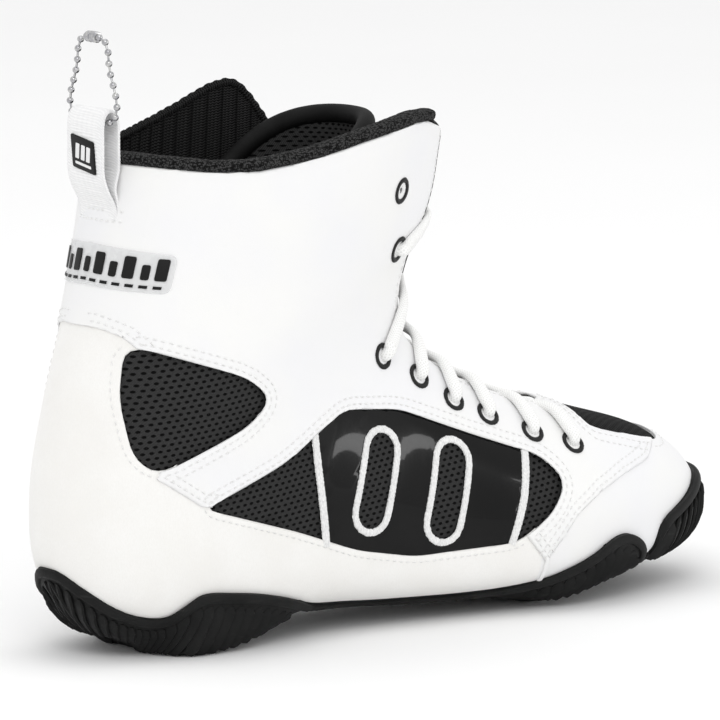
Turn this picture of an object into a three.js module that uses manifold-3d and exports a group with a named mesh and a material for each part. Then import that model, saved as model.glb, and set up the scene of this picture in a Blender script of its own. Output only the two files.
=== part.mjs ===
// Right boxing boot. Millimetres, +X to the toe, +Y to the inner side of the foot, +Z up.
// The origin is the centre of the heel's flat tread.
import * as THREE from 'three';
import { mergeVertices } from 'three/addons/utils/BufferGeometryUtils.js';
import Module from 'manifold-3d';

const wasm = await Module();
wasm.setup();

// ---- driving sizes -------------------------------------------------------
const bootLength = 304;        // heel back to toe tip, upper only
const collarHeight = 196;      // ground to the highest point of the collar cut
const ballWidth = 94;          // across the upper at the ball of the foot
const overlay = 1.4;           // outer synthetic leather
const backing = 1.0;           // mesh, counter and puff
const liningThick = 2.5;
const tongueThick = 4.0;
const soleWall = 2.8;          // rubber band up the side
const gap = 0.3;               // clearance between pieces that touch
const laceWide = 5.4;
const laceThick = 1.5;
const holeRadius = 2.7;        // lace hole through quarter and lining
const ringOuter = 4.6;         // buttonhole stitching round a lace hole
const ringInner = 2.4;
const ringHigh = 0.9;
const loopWide = 22;           // pull loop webbing
const loopThick = 1.4;
const chainRadius = 1.6;
const sockThick = 3.6;
const boardThick = 2.4;
const bindingWide = 6.2;
const bindingHigh = 4.0;
const pipeHigh = 2.4;

// depth of each layer below the outer skin (negative is inward)
const backingTop = -(overlay + gap);
const liningTop = backingTop - backing - gap;
const liningIn = liningTop - liningThick;
const laceUnder = liningIn - 0.9 - laceThick / 2;
const tongueTop = laceUnder - laceThick / 2 - 0.9;
const laceOver = gap + ringHigh + 0.5 + laceThick / 2;

// side views below are drawn on the standard boot and follow the driving sizes
const sx = bootLength / 304, sz = collarHeight / 196, sy = ballWidth / 94;
const side = list => list.map(([x, z]) => [x * sx, z * sz]);
const plan = list => list.map(([x, y]) => [x * sx, y * sy]);

// ---- the outer skin ------------------------------------------------------
// sole or back point x z, top or front point x z, outer and inner half width,
// height share of the widest line, roundness of the upper and the lower part
const stations = [
  [260, 31, 260, 33, 1, 1, .45, 2.0, 2.0],
  [258, 24, 258, 44, 17, 18, .42, 2.0, 2.4],
  [250, 18, 249, 54, 29, 29, .40, 2.1, 3.0],
  [234, 13, 231, 63, 39, 37, .38, 2.2, 3.5],
  [209, 9.5, 204, 71, 46, 43, .35, 2.2, 3.8],
  [176, 7, 174, 79, 49, 45, .32, 2.1, 4.0],
  [142, 7, 150, 89, 47, 43, .30, 2.0, 4.0],
  [108, 8, 131, 100, 43, 39, .30, 2.0, 4.0],
  [74, 10, 121, 110, 40, 36, .32, 2.0, 4.0],
  [38, 10, 117, 119, 39, 35, .33, 2.0, 4.0],
  [4, 9, 117, 127, 38, 36, .36, 2.1, 4.0],
  [-24, 16, 119, 134, 38, 37, .40, 2.1, 3.2],
  [-39, 34, 121, 142, 38, 37, .44, 2.1, 2.4],
  [-41, 60, 123, 150, 39, 38, .46, 2.1, 2.2],
  [-35, 90, 125, 158, 41, 40, .48, 2.1, 2.1],
  [-26, 120, 126, 167, 43, 42, .50, 2.1, 2.1],
  [-18, 150, 127, 180, 46, 45, .50, 2.1, 2.1],
  [-10, 190, 129, 200, 50, 49, .50, 2.1, 2.1],
  [-6, 210, 131, 214, 52, 51, .50, 2.1, 2.1],
].map(s => [s[0] * sx, s[1] * sz, s[2] * sx, s[3] * sz, s[4] * sy, s[5] * sy, s[6], s[7], s[8]]);

function station(u) {
  const t = Math.min(Math.max(u, 0), 1) * (stations.length - 1);
  const i = Math.min(Math.floor(t), stations.length - 2), f = t - i;
  const pick = k => stations[Math.min(Math.max(k, 0), stations.length - 1)];
  const [a, b, c, d] = [pick(i - 1), pick(i), pick(i + 1), pick(i + 2)];
  return b.map((_, k) => b[k] + .5 * f * (c[k] - a[k]
    + f * (2 * a[k] - 5 * b[k] + 4 * c[k] - d[k] + f * (3 * (b[k] - c[k]) + d[k] - a[k]))));
}

// phi 0 is the front or top centre line, PI the back or bottom one;
// negative phi is the outer side of the foot, positive the inner
function skin(u, phi) {
  const s = station(u), c = Math.cos(phi), sn = Math.sin(phi);
  const power = 2 / (c >= 0 ? s[7] : s[8]), reach = c >= 0 ? 1 - s[6] : s[6];
  const h = s[6] + Math.sign(c) * reach * Math.abs(c) ** power;
  const y = Math.sign(sn) * (sn < 0 ? s[4] : s[5]) * Math.abs(sn) ** power;
  return new THREE.Vector3(s[0] + h * (s[2] - s[0]), y, s[1] + h * (s[3] - s[1]));
}

function skinNormal(u, phi) {
  const e = .02, a = skin(Math.max(u - e, 0), phi), b = skin(Math.min(u + e, 1), phi);
  const c = skin(u, phi - .06), d = skin(u, phi + .06);
  return b.sub(a).cross(d.sub(c)).normalize().negate();
}

const offSkin = (u, phi, d) => skin(u, phi).addScaledVector(skinNormal(u, phi), d);

// ---- the common grid every layer is built on -----------------------------
const rows = 21, around = 22;
const grid = [], normals = [];
for (let i = 0; i <= rows; i++) {
  grid.push([]);
  for (let j = 0; j < around; j++) grid[i].push(skin(i / rows, j / around * 2 * Math.PI));
}
const cell = (i, j) => grid[i][(j + around) % around];
for (let i = 0; i <= rows; i++) {
  normals.push([]);
  for (let j = 0; j < around; j++) {
    const along = cell(Math.min(i + 1, rows), j).clone().sub(cell(Math.max(i - 1, 0), j));
    const across = cell(i, j + 1).clone().sub(cell(i, j - 1));
    normals[i].push(along.cross(across).normalize().negate());
  }
}
// the pole at the toe looks straight ahead
for (let j = 0; j < around; j++) normals[0][j].set(1, 0, 0);

const layerPoint = (i, j, d) => cell(i, j).clone().addScaledVector(normals[i][(j + around) % around], d);

// ---- helpers -------------------------------------------------------------
function fromLists(points, faces) {
  const g = new THREE.BufferGeometry();
  g.setAttribute('position', new THREE.Float32BufferAttribute(points.flatMap(p => [p.x, p.y, p.z]), 3));
  g.setIndex(faces.flat());
  return g;
}

function toManifold(geometry) {
  let g = geometry.clone();
  for (const name of Object.keys(g.attributes)) if (name !== 'position') g.deleteAttribute(name);
  g = mergeVertices(g, 1e-4);
  return new wasm.Manifold(new wasm.Mesh({
    numProp: 3,
    vertProperties: new Float32Array(g.attributes.position.array),
    triVerts: new Uint32Array(g.index.array),
  }));
}

// the largest body, without the slivers a cut can leave
function biggest(solid) {
  return solid.decompose().reduce((a, b) => (b.volume() > a.volume() ? b : a));
}

function toGeometry(solid) {
  const m = biggest(solid.simplify(.03)).getMesh();
  const g = new THREE.BufferGeometry();
  const flat = [];
  for (let v = 0; v < m.vertProperties.length / m.numProp; v++)
    flat.push(...m.vertProperties.slice(v * m.numProp, v * m.numProp + 3));
  g.setAttribute('position', new THREE.Float32BufferAttribute(flat, 3));
  g.setIndex(Array.from(m.triVerts));
  g.computeVertexNormals();
  return g;
}

// closed sock between two depths of the skin
function shell(outer, inner) {
  const points = [], faces = [], id = (k, i, j) => (k * (rows + 1) + i) * around + (j + around) % around;
  for (const d of [outer, inner])
    for (let i = 0; i <= rows; i++)
      for (let j = 0; j < around; j++) points.push(layerPoint(i, j, d));
  for (let i = 0; i < rows; i++)
    for (let j = 0; j < around; j++) {
      const q = k => [id(k, i, j), id(k, i, j + 1), id(k, i + 1, j + 1), id(k, i + 1, j)];
      const [a, b, c, d] = q(0), [e, f, g, h] = q(1);
      faces.push([a, b, c], [a, c, d], [e, g, f], [e, h, g]);
    }
  for (let j = 0; j < around; j++) {
    const [a, b, c, d] = [id(0, rows, j), id(0, rows, j + 1), id(1, rows, j + 1), id(1, rows, j)];
    faces.push([a, b, c], [a, c, d]);
    if (j > 0 && j < around - 1) faces.push([id(0, 0, 0), id(0, 0, j + 1), id(0, 0, j)],
      [id(1, 0, 0), id(1, 0, j), id(1, 0, j + 1)]);
  }
  return toManifold(fromLists(points, faces));
}

// solid filling the skin, moved out by a distance and then by an optional rule
function solidForm(distance, rule = p => p) {
  const points = [], faces = [], id = (i, j) => i * around + (j + around) % around;
  for (let i = 0; i <= rows; i++)
    for (let j = 0; j < around; j++) points.push(rule(layerPoint(i, j, distance), normals[i][j]));
  for (let i = 0; i < rows; i++)
    for (let j = 0; j < around; j++) {
      faces.push([id(i, j), id(i, j + 1), id(i + 1, j + 1)], [id(i, j), id(i + 1, j + 1), id(i + 1, j)]);
    }
  for (let j = 1; j < around - 1; j++) {
    faces.push([id(0, 0), id(0, j + 1), id(0, j)], [id(rows, 0), id(rows, j), id(rows, j + 1)]);
  }
  return toManifold(fromLists(points, faces));
}

const area = list => list.reduce((t, [x, y], i) => {
  const [u, v] = list[(i + 1) % list.length];
  return t + x * v - u * y;
}, 0) / 2;

// outline moved outward by a distance (negative moves it inward)
function grow(list, d) {
  const turn = Math.sign(area(list)), n = list.length;
  const edge = (a, b) => new THREE.Vector2(b[1] - a[1], a[0] - b[0]).normalize().multiplyScalar(turn);
  return list.map((p, i) => {
    const a = edge(list[(i + n - 1) % n], p), b = edge(p, list[(i + 1) % n]);
    const m = a.clone().add(b).normalize(), k = d / Math.max(m.dot(a), .45);
    return [p[0] + m.x * k, p[1] + m.y * k];
  });
}

// outline with every corner rounded
function soften(list, r) {
  const n = list.length, out = [];
  list.forEach((p, i) => {
    const a = new THREE.Vector2(...list[(i + n - 1) % n]), c = new THREE.Vector2(...list[(i + 1) % n]);
    const b = new THREE.Vector2(...p);
    const ra = Math.min(r, a.distanceTo(b) * .45), rc = Math.min(r, c.distanceTo(b) * .45);
    const s = b.clone().lerp(a, ra / a.distanceTo(b)), e = b.clone().lerp(c, rc / c.distanceTo(b));
    const m = s.clone().add(e).multiplyScalar(.25).addScaledVector(b, .5);
    out.push([s.x, s.y], [m.x, m.y], [e.x, e.y]);
  });
  return out;
}

function extruded(list, depth) {
  const shape = new THREE.Shape(list.map(p => new THREE.Vector2(...p)));
  return new THREE.ExtrudeGeometry(shape, { depth, bevelEnabled: false, curveSegments: 4 });
}

const far = 130;
// side view outline cut straight across: -1 outer half, 1 inner half, 0 both
function sideCut(list, which = 0, outer = far, inner = far) {
  const from = which < 0 ? 0 : inner, depth = from + (which > 0 ? 0 : outer);
  return toManifold(extruded(list, depth).rotateX(Math.PI / 2).translate(0, from, 0));
}
const planCut = (list, z0, z1) => toManifold(extruded(list, z1 - z0).translate(0, 0, z0));
// front view outline given as y z
const frontCut = (list, x0, x1) => toManifold(
  extruded(list, x1 - x0).applyMatrix4(new THREE.Matrix4().set(0, 0, 1, x0, 1, 0, 0, 0, 0, 1, 0, 0, 0, 0, 0, 1)));

// first point of the faceted outer skin met by a ray
function meet(from, direction) {
  const ray = new THREE.Ray(from, direction), hit = new THREE.Vector3();
  let best = null;
  for (let i = 0; i < rows; i++)
    for (let j = 0; j < around; j++)
      for (const [a, b, c] of [[cell(i, j), cell(i, j + 1), cell(i + 1, j + 1)],
        [cell(i, j), cell(i + 1, j + 1), cell(i + 1, j)]])
        if (ray.intersectTriangle(a, b, c, false, hit) && (!best || hit.distanceTo(from) < best.reach)) {
          const normal = b.clone().sub(a).cross(c.clone().sub(a)).normalize();
          if (normal.dot(direction) > 0) normal.negate();
          best = { point: hit.clone(), normal, reach: hit.distanceTo(from) };
        }
  return best;
}

// skin point that shows at x z from one side, and how high a flat ring has to sit there
function onSkin(x, z, which, ring) {
  const spot = meet(new THREE.Vector3(x, which * far, z), new THREE.Vector3(0, -which, 0));
  spot.at = d => spot.point.clone().addScaledVector(spot.normal, d);
  spot.rise = 0;
  const u = new THREE.Vector3(1, 0, 0).cross(spot.normal).normalize(), v = spot.normal.clone().cross(u);
  for (let k = 0; k < 12; k++) {
    const a = k / 6 * Math.PI;
    const from = spot.at(8).addScaledVector(u, ring * Math.cos(a)).addScaledVector(v, ring * Math.sin(a));
    const found = meet(from, spot.normal.clone().negate());
    if (found) spot.rise = Math.max(spot.rise, 8 - found.reach);
  }
  return spot;
}

// section and angle of the skin point that shows at x z in the side view
function locate(x, z, which) {
  let best = [0, 0, Infinity];
  for (let u = 0; u <= 1; u += .005)
    for (let phi = .02; phi < Math.PI; phi += .02) {
      const p = skin(u, phi * which), d = (p.x - x) ** 2 + (p.z - z) ** 2;
      if (d < best[2]) best = [u, phi * which, d];
    }
  return best;
}

// closed bar swept along points; wide holds the direction of its width at each point
function sweep(points, wide, halfWide, halfThick, sides = 6) {
  const n = points.length, verts = [], faces = [];
  let last = null;
  points.forEach((p, i) => {
    const t = points[Math.min(i + 1, n - 1)].clone().sub(points[Math.max(i - 1, 0)]).normalize();
    const w = wide[i].clone().addScaledVector(t, -wide[i].dot(t)).normalize();
    if (last && w.dot(last) < 0) w.negate();
    last = w;
    const v = t.clone().cross(w);
    const hw = Array.isArray(halfWide) ? halfWide[i] : halfWide;
    const ht = Array.isArray(halfThick) ? halfThick[i] : halfThick;
    for (let k = 0; k < sides; k++) {
      const a = (k + .5) / sides * 2 * Math.PI;
      verts.push(p.clone().addScaledVector(w, hw * Math.cos(a)).addScaledVector(v, ht * Math.sin(a)));
    }
  });
  const id = (i, k) => i * sides + (k + sides) % sides;
  for (let i = 0; i < n - 1; i++)
    for (let k = 0; k < sides; k++)
      faces.push([id(i, k), id(i, k + 1), id(i + 1, k + 1)], [id(i, k), id(i + 1, k + 1), id(i + 1, k)]);
  for (let k = 1; k < sides - 1; k++)
    faces.push([id(0, 0), id(0, k + 1), id(0, k)], [id(n - 1, 0), id(n - 1, k), id(n - 1, k + 1)]);
  return fromLists(verts, faces);
}

// ---- materials -----------------------------------------------------------
const material = (color, roughness, metalness = 0) => new THREE.MeshStandardMaterial({ color, roughness, metalness });
const white = material(0xf3f3f2, .45), suede = material(0xefefeb, .85), black = material(0x1b1b1c, .8);
const patent = material(0x101011, .12), rubber = material(0x1d1d1e, .7), webbing = material(0xf0f0ee, .8);
const lacing = material(0xf6f6f4, .75), steel = material(0xc9c9cc, .25, 1), board = material(0xb9a98a, .9);
const foam = material(0x2a2a2b, .9), film = material(0xd9dadb, .2), labelBlack = material(0x151516, .6);

const boot = new THREE.Group();
boot.name = 'boxing_boot';
function add(name, geometry, finish) {
  const g = geometry.isBufferGeometry ? geometry : toGeometry(geometry);
  const mesh = new THREE.Mesh(g, finish);
  mesh.name = name;
  boot.add(mesh);
}

// ---- outlines ------------------------------------------------------------
const ankleWindow = soften(side([[-19, 117], [23, 103], [34, 94], [24, 85], [-13, 70], [-21, 77], [-23, 97]]), 6);
const midWindow = soften(side([[5, 56], [40, 69], [70, 86], [98, 83], [132, 70], [160, 60], [169, 50], [161, 39],
  [145, 29], [100, 28], [74, 33], [47, 43]]), 3);
const patentSpan = side([[54, 100], [61, 20], [138, 20], [157, 70], [157, 100]]);
const toeWindow = soften(side([[193, 100], [193, 66], [217, 59.5], [232, 56.5], [239, 57.5], [243, 62],
  [243, 100]]), 2);
const vents = [[84, 58], [116, 51]].map(([x, z]) => {
  const lean = .3, half = 12, r = 7.5;
  const out = [];
  for (const end of [1, -1])
    for (let k = 0; k <= 4; k++) {
      const a = (end > 0 ? 0 : Math.PI) + k / 4 * Math.PI;
      const px = r * Math.cos(a), pz = end * half + r * Math.sin(a);
      out.push([x + px * Math.cos(lean) + pz * Math.sin(lean), z - px * Math.sin(lean) + pz * Math.cos(lean)]);
    }
  return side(out);
});
const heelLine = side([[-70, 123], [-24, 122.5], [-19, 119.5], [0, 95], [-13, 68.5], [4, 57], [60, 50], [146, 34],
  [157, 21], [155, -20], [-70, -20]]);
const toeLine = side([[229, 110], [228, 57], [217, 52], [201, 49], [186, 44], [173, 37], [159, 22], [157, -20],
  [300, -20], [300, 110]]);
const rimOuter = side([[-9, 181], [10, 179], [25, 179], [45, 182], [70, 187], [90, 190], [100, 191], [110, 190.5],
  [117, 187], [121, 181], [124, 172], [127, 160], [170, 160]]);
const rimInner = side([[-9, 181], [10, 184.5], [40, 189], [65, 193], [80, 196], [85, 193], [90, 184], [97, 170],
  [104, 152], [109, 134], [112, 120]]);
const marginHole = plan([[-20, 0], [-17, -10], [-6, -18], [20, -20], [60, -18], [100, -22], [140, -28], [175, -30],
  [205, -25], [224, -14], [231, 0], [224, 14], [205, 23], [175, 27], [140, 25], [100, 18], [60, 14], [20, 17],
  [-6, 17], [-17, 10]]);

const overTop = (rim, which) => sideCut([[-70 * sx, rim[0][1]], ...rim,
  [170 * sx, rim.at(-1)[1]], [170 * sx, 260 * sz], [-70 * sx, 260 * sz]], which);
const throat = planCut(plan([[90, -19], [165, -19], [178, -16], [185, -9], [187, 0], [185, 9], [178, 16],
  [165, 19], [90, 19]]), 60 * sz, 140 * sz)
  .add(frontCut([[-19 * sy, 118 * sz], [19 * sy, 118 * sz], [20 * sy, 140 * sz], [25 * sy, 230 * sz],
    [-25 * sy, 230 * sz], [-20 * sy, 140 * sz]], 85 * sx, 170 * sx));
const opened = solid => solid.subtract(overTop(rimOuter, -1)).subtract(overTop(rimInner, 1)).subtract(throat);

// lace holes, from the collar down; the inner lapel stands further back
const holesOuter = side([[95, 166], [98, 143], [93, 103], [112, 93], [127, 83], [142, 76], [161, 68], [179, 62]]);
const holesInner = side([[80, 168], [91, 145], [93, 103], [112, 93], [127, 83], [142, 76], [161, 68], [179, 62]]);
const holes = [holesOuter.map(([x, z]) => ({ ...onSkin(x, z, -1, ringOuter), which: -1, x, z })),
  holesInner.map(([x, z]) => ({ ...onSkin(x, z, 1, ringOuter), which: 1, x, z }))];
const pegs = holes.flat().map(h => toManifold(new THREE.CylinderGeometry(holeRadius, holeRadius, 20, 10)
  .applyQuaternion(new THREE.Quaternion().setFromUnitVectors(new THREE.Vector3(0, 1, 0), h.normal))
  .translate(h.point.x, h.point.y, h.point.z)));
const punched = solid => pegs.reduce((s, p) => s.subtract(p), solid);

// ---- sole ----------------------------------------------------------------
const between = (list, x) => {
  if (x <= list[0][0]) return list[0][1];
  for (let i = 1; i < list.length; i++)
    if (x <= list[i][0]) {
      const [a, b] = [list[i - 1], list[i]];
      return a[1] + (b[1] - a[1]) * (x - a[0]) / (b[0] - a[0]);
    }
  return list.at(-1)[1];
};
// how far the tread reaches below the plain offset: heel block, raised arch, forefoot, bare toe
const treadDrop = side([[-45, 7], [-20, 9], [28, 8], [48, 4], [64, 1], [84, 0], [100, 3], [116, 6], [166, 6],
  [184, 2.5], [206, 0]]);
const tread = (p, n) => {
  const s = THREE.MathUtils.smoothstep(-n.z, .35, .8);
  p.z = Math.max(0, p.z - s * between(treadDrop, p.x));
  return p;
};
const band = side([[-70, 37], [-40, 36], [-35, 29], [-25, 20.5], [-14, 16], [-5, 15.5], [0, 21], [6, 25], [30, 22],
  [46, 18], [60, 13], [90, 11], [120, 10], [145, 10.5], [160, 13], [180, 20], [191, 26], [198, 27], [204, 24.5],
  [209, 20], [212, 14], [215, 14], [218, 26], [222, 30], [230, 33], [240, 37], [250, 42], [275, 46],
  [275, -30], [-70, -30]]);
add('outsole', solidForm(soleWall, tread).intersect(sideCut(band)).subtract(solidForm(gap)), rubber);
const boardHole = planCut(grow(marginHole, -gap), -20, 24 * sz);
add('lasting_board', shell(0, -boardThick).intersect(boardHole), board);
const sockLine = plan([[-22, 0], [-19, -13], [-8, -23], [20, -27], [60, -26], [100, -30], [140, -35], [175, -37],
  [203, -32], [224, -20], [234, 0], [224, 19], [203, 29], [175, 33], [140, 31], [100, 25], [60, 21], [20, 23],
  [-8, 22], [-19, 13]]);
add('sockliner', shell(liningIn - gap, liningIn - gap - sockThick)
  .intersect(planCut(sockLine, -20, 34 * sz)), foam);

// ---- inner layers --------------------------------------------------------
// the lining is seamed round the ankle, between the third and fourth lace holes
const liningSeam = 98 * sz, liningShell = punched(opened(shell(liningTop, liningIn)));
const belowSeam = z => sideCut([[-80 * sx, -30], [290 * sx, -30], [290 * sx, z], [-80 * sx, z]]);
add('lining_collar', liningShell.subtract(belowSeam(liningSeam + gap / 2)), black);
add('lining_foot', liningShell.intersect(belowSeam(liningSeam - gap / 2)), black);
const backingShell = shell(backingTop, backingTop - backing);
add('heel_counter', backingShell.intersect(sideCut(side([[-70, 60], [-10, 55], [14, 38], [20, 14], [-70, 14]])))
  .subtract(planCut(grow(marginHole, gap), -20, 30 * sz)), board);
add('toe_puff', backingShell.intersect(sideCut(side([[229, 20], [227, 44], [240, 48], [300, 48], [300, 20]]))), board);
add('vamp_mesh', backingShell.intersect(sideCut(grow(toeWindow, 5))).subtract(throat), black);
for (const [which, word] of [[-1, 'outer'], [1, 'inner']]) {
  add(`ankle_mesh_${word}`, backingShell.intersect(sideCut(grow(ankleWindow, 4.5), which)), black);
  add(`midfoot_mesh_${word}`, punched(backingShell.intersect(sideCut(grow(midWindow, 4.5), which))), black);
}

// ---- outer panels --------------------------------------------------------
const outerShell = shell(0, -overlay).subtract(planCut(marginHole, -20, 24 * sz));
const windows = [ankleWindow, midWindow, toeWindow].map(w => sideCut(w));
const pierced = solid => windows.reduce((s, w) => s.subtract(w), solid);
add('toe_cap', pierced(outerShell.intersect(sideCut(toeLine))), white);
add('heel_overlay', pierced(outerShell.intersect(sideCut(heelLine)).subtract(sideCut(grow(toeLine, gap)))), suede);
add('quarter_panel', punched(pierced(opened(outerShell)
  .subtract(sideCut(grow(heelLine, gap))).subtract(sideCut(grow(toeLine, gap))))), white);
const patentShell = shell(-.35, -.35 - .85);
for (const [which, word] of [[-1, 'outer'], [1, 'inner']])
  add(`patent_panel_${word}`, vents.reduce((s, v) => s.subtract(sideCut(v)),
    patentShell.intersect(sideCut(grow(midWindow, -.35), which)).intersect(sideCut(patentSpan))), patent);
add('back_patch', shell(gap + .6, gap).intersect(sideCut(side([[-40, 151], [-5, 148.5], [-7, 134.5], [-40, 137]]))),
  film);

// ---- collar binding ------------------------------------------------------
function rimPoint(rim, phi, which) {
  let lo = .8, hi = 1;
  for (let k = 0; k < 30; k++) {
    const u = (lo + hi) / 2, p = skin(u, phi * which);
    if (p.z < between(rim, p.x)) lo = u; else hi = u;
  }
  return [lo, phi * which];
}
const rimPath = [], rimWide = [];
function rimStep(rim, phi, which) {
  const [u, at] = rimPoint(rim, phi, which), n = skinNormal(u, at).setZ(0).normalize();
  const spots = [.8, liningIn / 2, liningIn - .8].map(d => skin(u, at).addScaledVector(n, d));
  spots[1].z = Math.max(...spots.map(p => between(rim, p.x))) + bindingHigh / 2 + gap + .3;
  rimPath.push(spots[1]);
  rimWide.push(n);
}
for (let k = 0; k <= 16; k++) rimStep(rimOuter, .8 + k / 16 * (Math.PI - .8), -1);
for (let k = 15; k >= 0; k--) rimStep(rimInner, 1.38 + k / 16 * (Math.PI - 1.38), 1);
add('collar_binding', sweep(rimPath, rimWide, bindingWide / 2, bindingHigh / 2, 8), black);

// ---- tongue --------------------------------------------------------------
const tongueFrom = .17, tongueTo = .915;
const tongueLean = 16;   // how far the free end leans back from the front of the collar
const tongueSpread = u => THREE.MathUtils.lerp(.72, 1.32, THREE.MathUtils.smoothstep(u, .35, .9));
const tongueDepth = (u, v) => THREE.MathUtils.lerp(liningIn - gap - .5 * Math.max(sx, sz) ** 2, tongueTop,
  THREE.MathUtils.smoothstep(u, .18, .22)) - 1.8 * v * v * THREE.MathUtils.smoothstep(u, .6, .8);
const tongueEnd = v => tongueTo - .05 * v ** 4;
const tongueRows = 18, tongueCols = 10;
function tonguePoint(i, j, extra) {
  const v = j / tongueCols * 2 - 1, u = tongueFrom + (tongueEnd(v) - tongueFrom) * i / tongueRows;
  const p = offSkin(u, v * tongueSpread(u), tongueDepth(u, v) - extra);
  p.x -= tongueLean * sx * THREE.MathUtils.smoothstep(u, .73, .93);
  return p;
}
function tongueSolid() {
  const points = [], faces = [], id = (k, i, j) => (k * (tongueRows + 1) + i) * (tongueCols + 1) + j;
  for (const extra of [0, tongueThick])
    for (let i = 0; i <= tongueRows; i++)
      for (let j = 0; j <= tongueCols; j++) points.push(tonguePoint(i, j, extra));
  const quad = (a, b, c, d) => faces.push([a, b, c], [a, c, d]);
  for (let i = 0; i < tongueRows; i++)
    for (let j = 0; j < tongueCols; j++) {
      quad(id(0, i, j), id(0, i, j + 1), id(0, i + 1, j + 1), id(0, i + 1, j));
      quad(id(1, i, j), id(1, i + 1, j), id(1, i + 1, j + 1), id(1, i, j + 1));
    }
  for (let i = 0; i < tongueRows; i++) {
    quad(id(0, i, 0), id(0, i + 1, 0), id(1, i + 1, 0), id(1, i, 0));
    quad(id(0, i + 1, tongueCols), id(0, i, tongueCols), id(1, i, tongueCols), id(1, i + 1, tongueCols));
  }
  for (let j = 0; j < tongueCols; j++) {
    quad(id(0, 0, j + 1), id(0, 0, j), id(1, 0, j), id(1, 0, j + 1));
    quad(id(0, tongueRows, j), id(0, tongueRows, j + 1), id(1, tongueRows, j + 1), id(1, tongueRows, j));
  }
  return toManifold(fromLists(points, faces));
}
const tongueSplit = 148 * sz;
let splitU = .6;
while (offSkin(splitU, 0, tongueTop).z < tongueSplit) splitU += .001;
const splitFront = offSkin(splitU, 0, tongueTop).x;
const wedge = Math.tan(THREE.MathUtils.degToRad(15));
const tongueAll = tongueSolid();
add('tongue_lower', tongueAll.intersect(sideCut([[-20, -10], [300 * sx, -10], [300 * sx, tongueSplit],
  [-20, tongueSplit]])), white);
add('tongue_upper', tongueAll.intersect(sideCut([[splitFront + 40, tongueSplit + gap],
  [splitFront - 1, tongueSplit + gap], [splitFront - 121, tongueSplit + gap + 120 * wedge],
  [splitFront - 121, 260 * sz], [splitFront + 40, 260 * sz]])), white);

// piping along the free edge of the tongue
const edge = [...Array(tongueCols + 1).keys()].map(j => tonguePoint(tongueRows, j, tongueThick / 2));
const pipeWide = edge.map((_, j) => tonguePoint(tongueRows, j, 0).sub(tonguePoint(tongueRows, j, 1)).normalize());
const pipe = edge.map((p, j) => {
  const along = edge[Math.min(j + 1, tongueCols)].clone().sub(edge[Math.max(j - 1, 0)]);
  return p.clone().addScaledVector(along.cross(pipeWide[j]).normalize(), -(pipeHigh + gap + .1));
});
add('tongue_piping', sweep(pipe, pipeWide, tongueThick * .62, pipeHigh, 8), black);

// ---- lace rings and lace -------------------------------------------------
const ringProfile = [[ringInner, 0], [ringOuter, 0], [ringOuter - .5, ringHigh], [ringInner + .3, ringHigh],
  [ringInner, 0]].map(p => new THREE.Vector2(...p));
holes.forEach((row, r) => row.forEach((h, k) => {
  const g = new THREE.LatheGeometry(ringProfile, 10);
  g.applyQuaternion(new THREE.Quaternion().setFromUnitVectors(new THREE.Vector3(0, 1, 0), h.normal));
  const at = h.at(gap + h.rise);
  g.translate(at.x, at.y, at.z);
  add(`eyelet_${r ? 'inner' : 'outer'}_${k + 1}`, toGeometry(toManifold(g)), labelBlack);
}));

const lace = [], laceWideDir = [], laceHalf = [];
function lacePush(p, wide, half = laceWide / 2) {
  lace.push(p);
  laceWideDir.push(wide);
  laceHalf.push(half);
}
holes.flat().forEach(h => {
  [h.u, h.phi] = locate(h.x, h.z, h.which);
  h.along = skin(h.u + .02, h.phi).sub(skin(h.u - .02, h.phi)).normalize();
  h.toMiddle = skin(h.u, h.phi * .85).sub(skin(h.u, h.phi)).projectOnPlane(h.normal).normalize();
});
// up through a hole: inside first, outside last
function throughHole(h, outward) {
  const top = laceOver + h.rise;
  const stops = [[laceUnder, 1.6], [laceUnder + .9, .25], [liningIn + .6, 0], [-.2, 0], [top - 1, .1],
    [top, 1.6], [top, 4.6]];
  if (!outward) stops.reverse();
  for (const [d, inwards] of stops)
    lacePush(h.at(d).addScaledVector(h.toMiddle, inwards), h.along, 1.75);
}
// across the tongue from the top of one hole to the underside of the next
function crossing(a, b, above) {
  const marks = [[.2, laceOver + a.rise / 2 + .2], [.33, laceOver * .55], [.5, -2.4 + above * 1.25],
    [.66, laceUnder * .75], [.78, laceUnder], [.9, laceUnder]];
  for (const [t, d] of marks) {
    const u = THREE.MathUtils.lerp(a.u, b.u, t), phi = THREE.MathUtils.lerp(a.phi, b.phi, t);
    const dir = skin(b.u, b.phi).sub(skin(a.u, a.phi));
    lacePush(offSkin(u, phi, d), skinNormal(u, phi).cross(dir).normalize());
  }
}
// loose end: over the edge of the quarter, then tucked up behind it
function tail(h, starts) {
  const stops = [[.62, laceOver, .002], [.5, laceOver - .8, .004], [.38, -1.6, .01], [.38, laceUnder + 1, .022],
    [.46, laceUnder, .036], [.56, laceUnder, .05], [.64, laceUnder, .07], [.7, laceUnder, .09]];
  if (starts) stops.reverse();
  for (const [t, d, du] of stops) lacePush(offSkin(h.u + du, h.phi * t, d), h.along, laceWide * .35);
}
const [outerRow, innerRow] = holes;
function runDown(firstRow) {
  let row = firstRow;
  const list = [];
  for (let k = 1; k < 8; k++) { list.push([row, k]); row = row === outerRow ? innerRow : outerRow; }
  return list;
}
const downward = runDown(outerRow), upward = runDown(innerRow).reverse();
tail(outerRow[1], true);
downward.forEach(([row, k], n) => {
  const h = row[k];
  throughHole(h, false);
  if (n < downward.length - 1) {
    const next = downward[n + 1][0][downward[n + 1][1]];
    const before = lace.length;
    crossing(next, h, n % 2 ? 1 : -1);
    const part = [lace, laceWideDir, laceHalf].map(l => l.splice(before).reverse());
    part[0].forEach((p, i) => lacePush(p, part[1][i], part[2][i]));
  }
});
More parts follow.
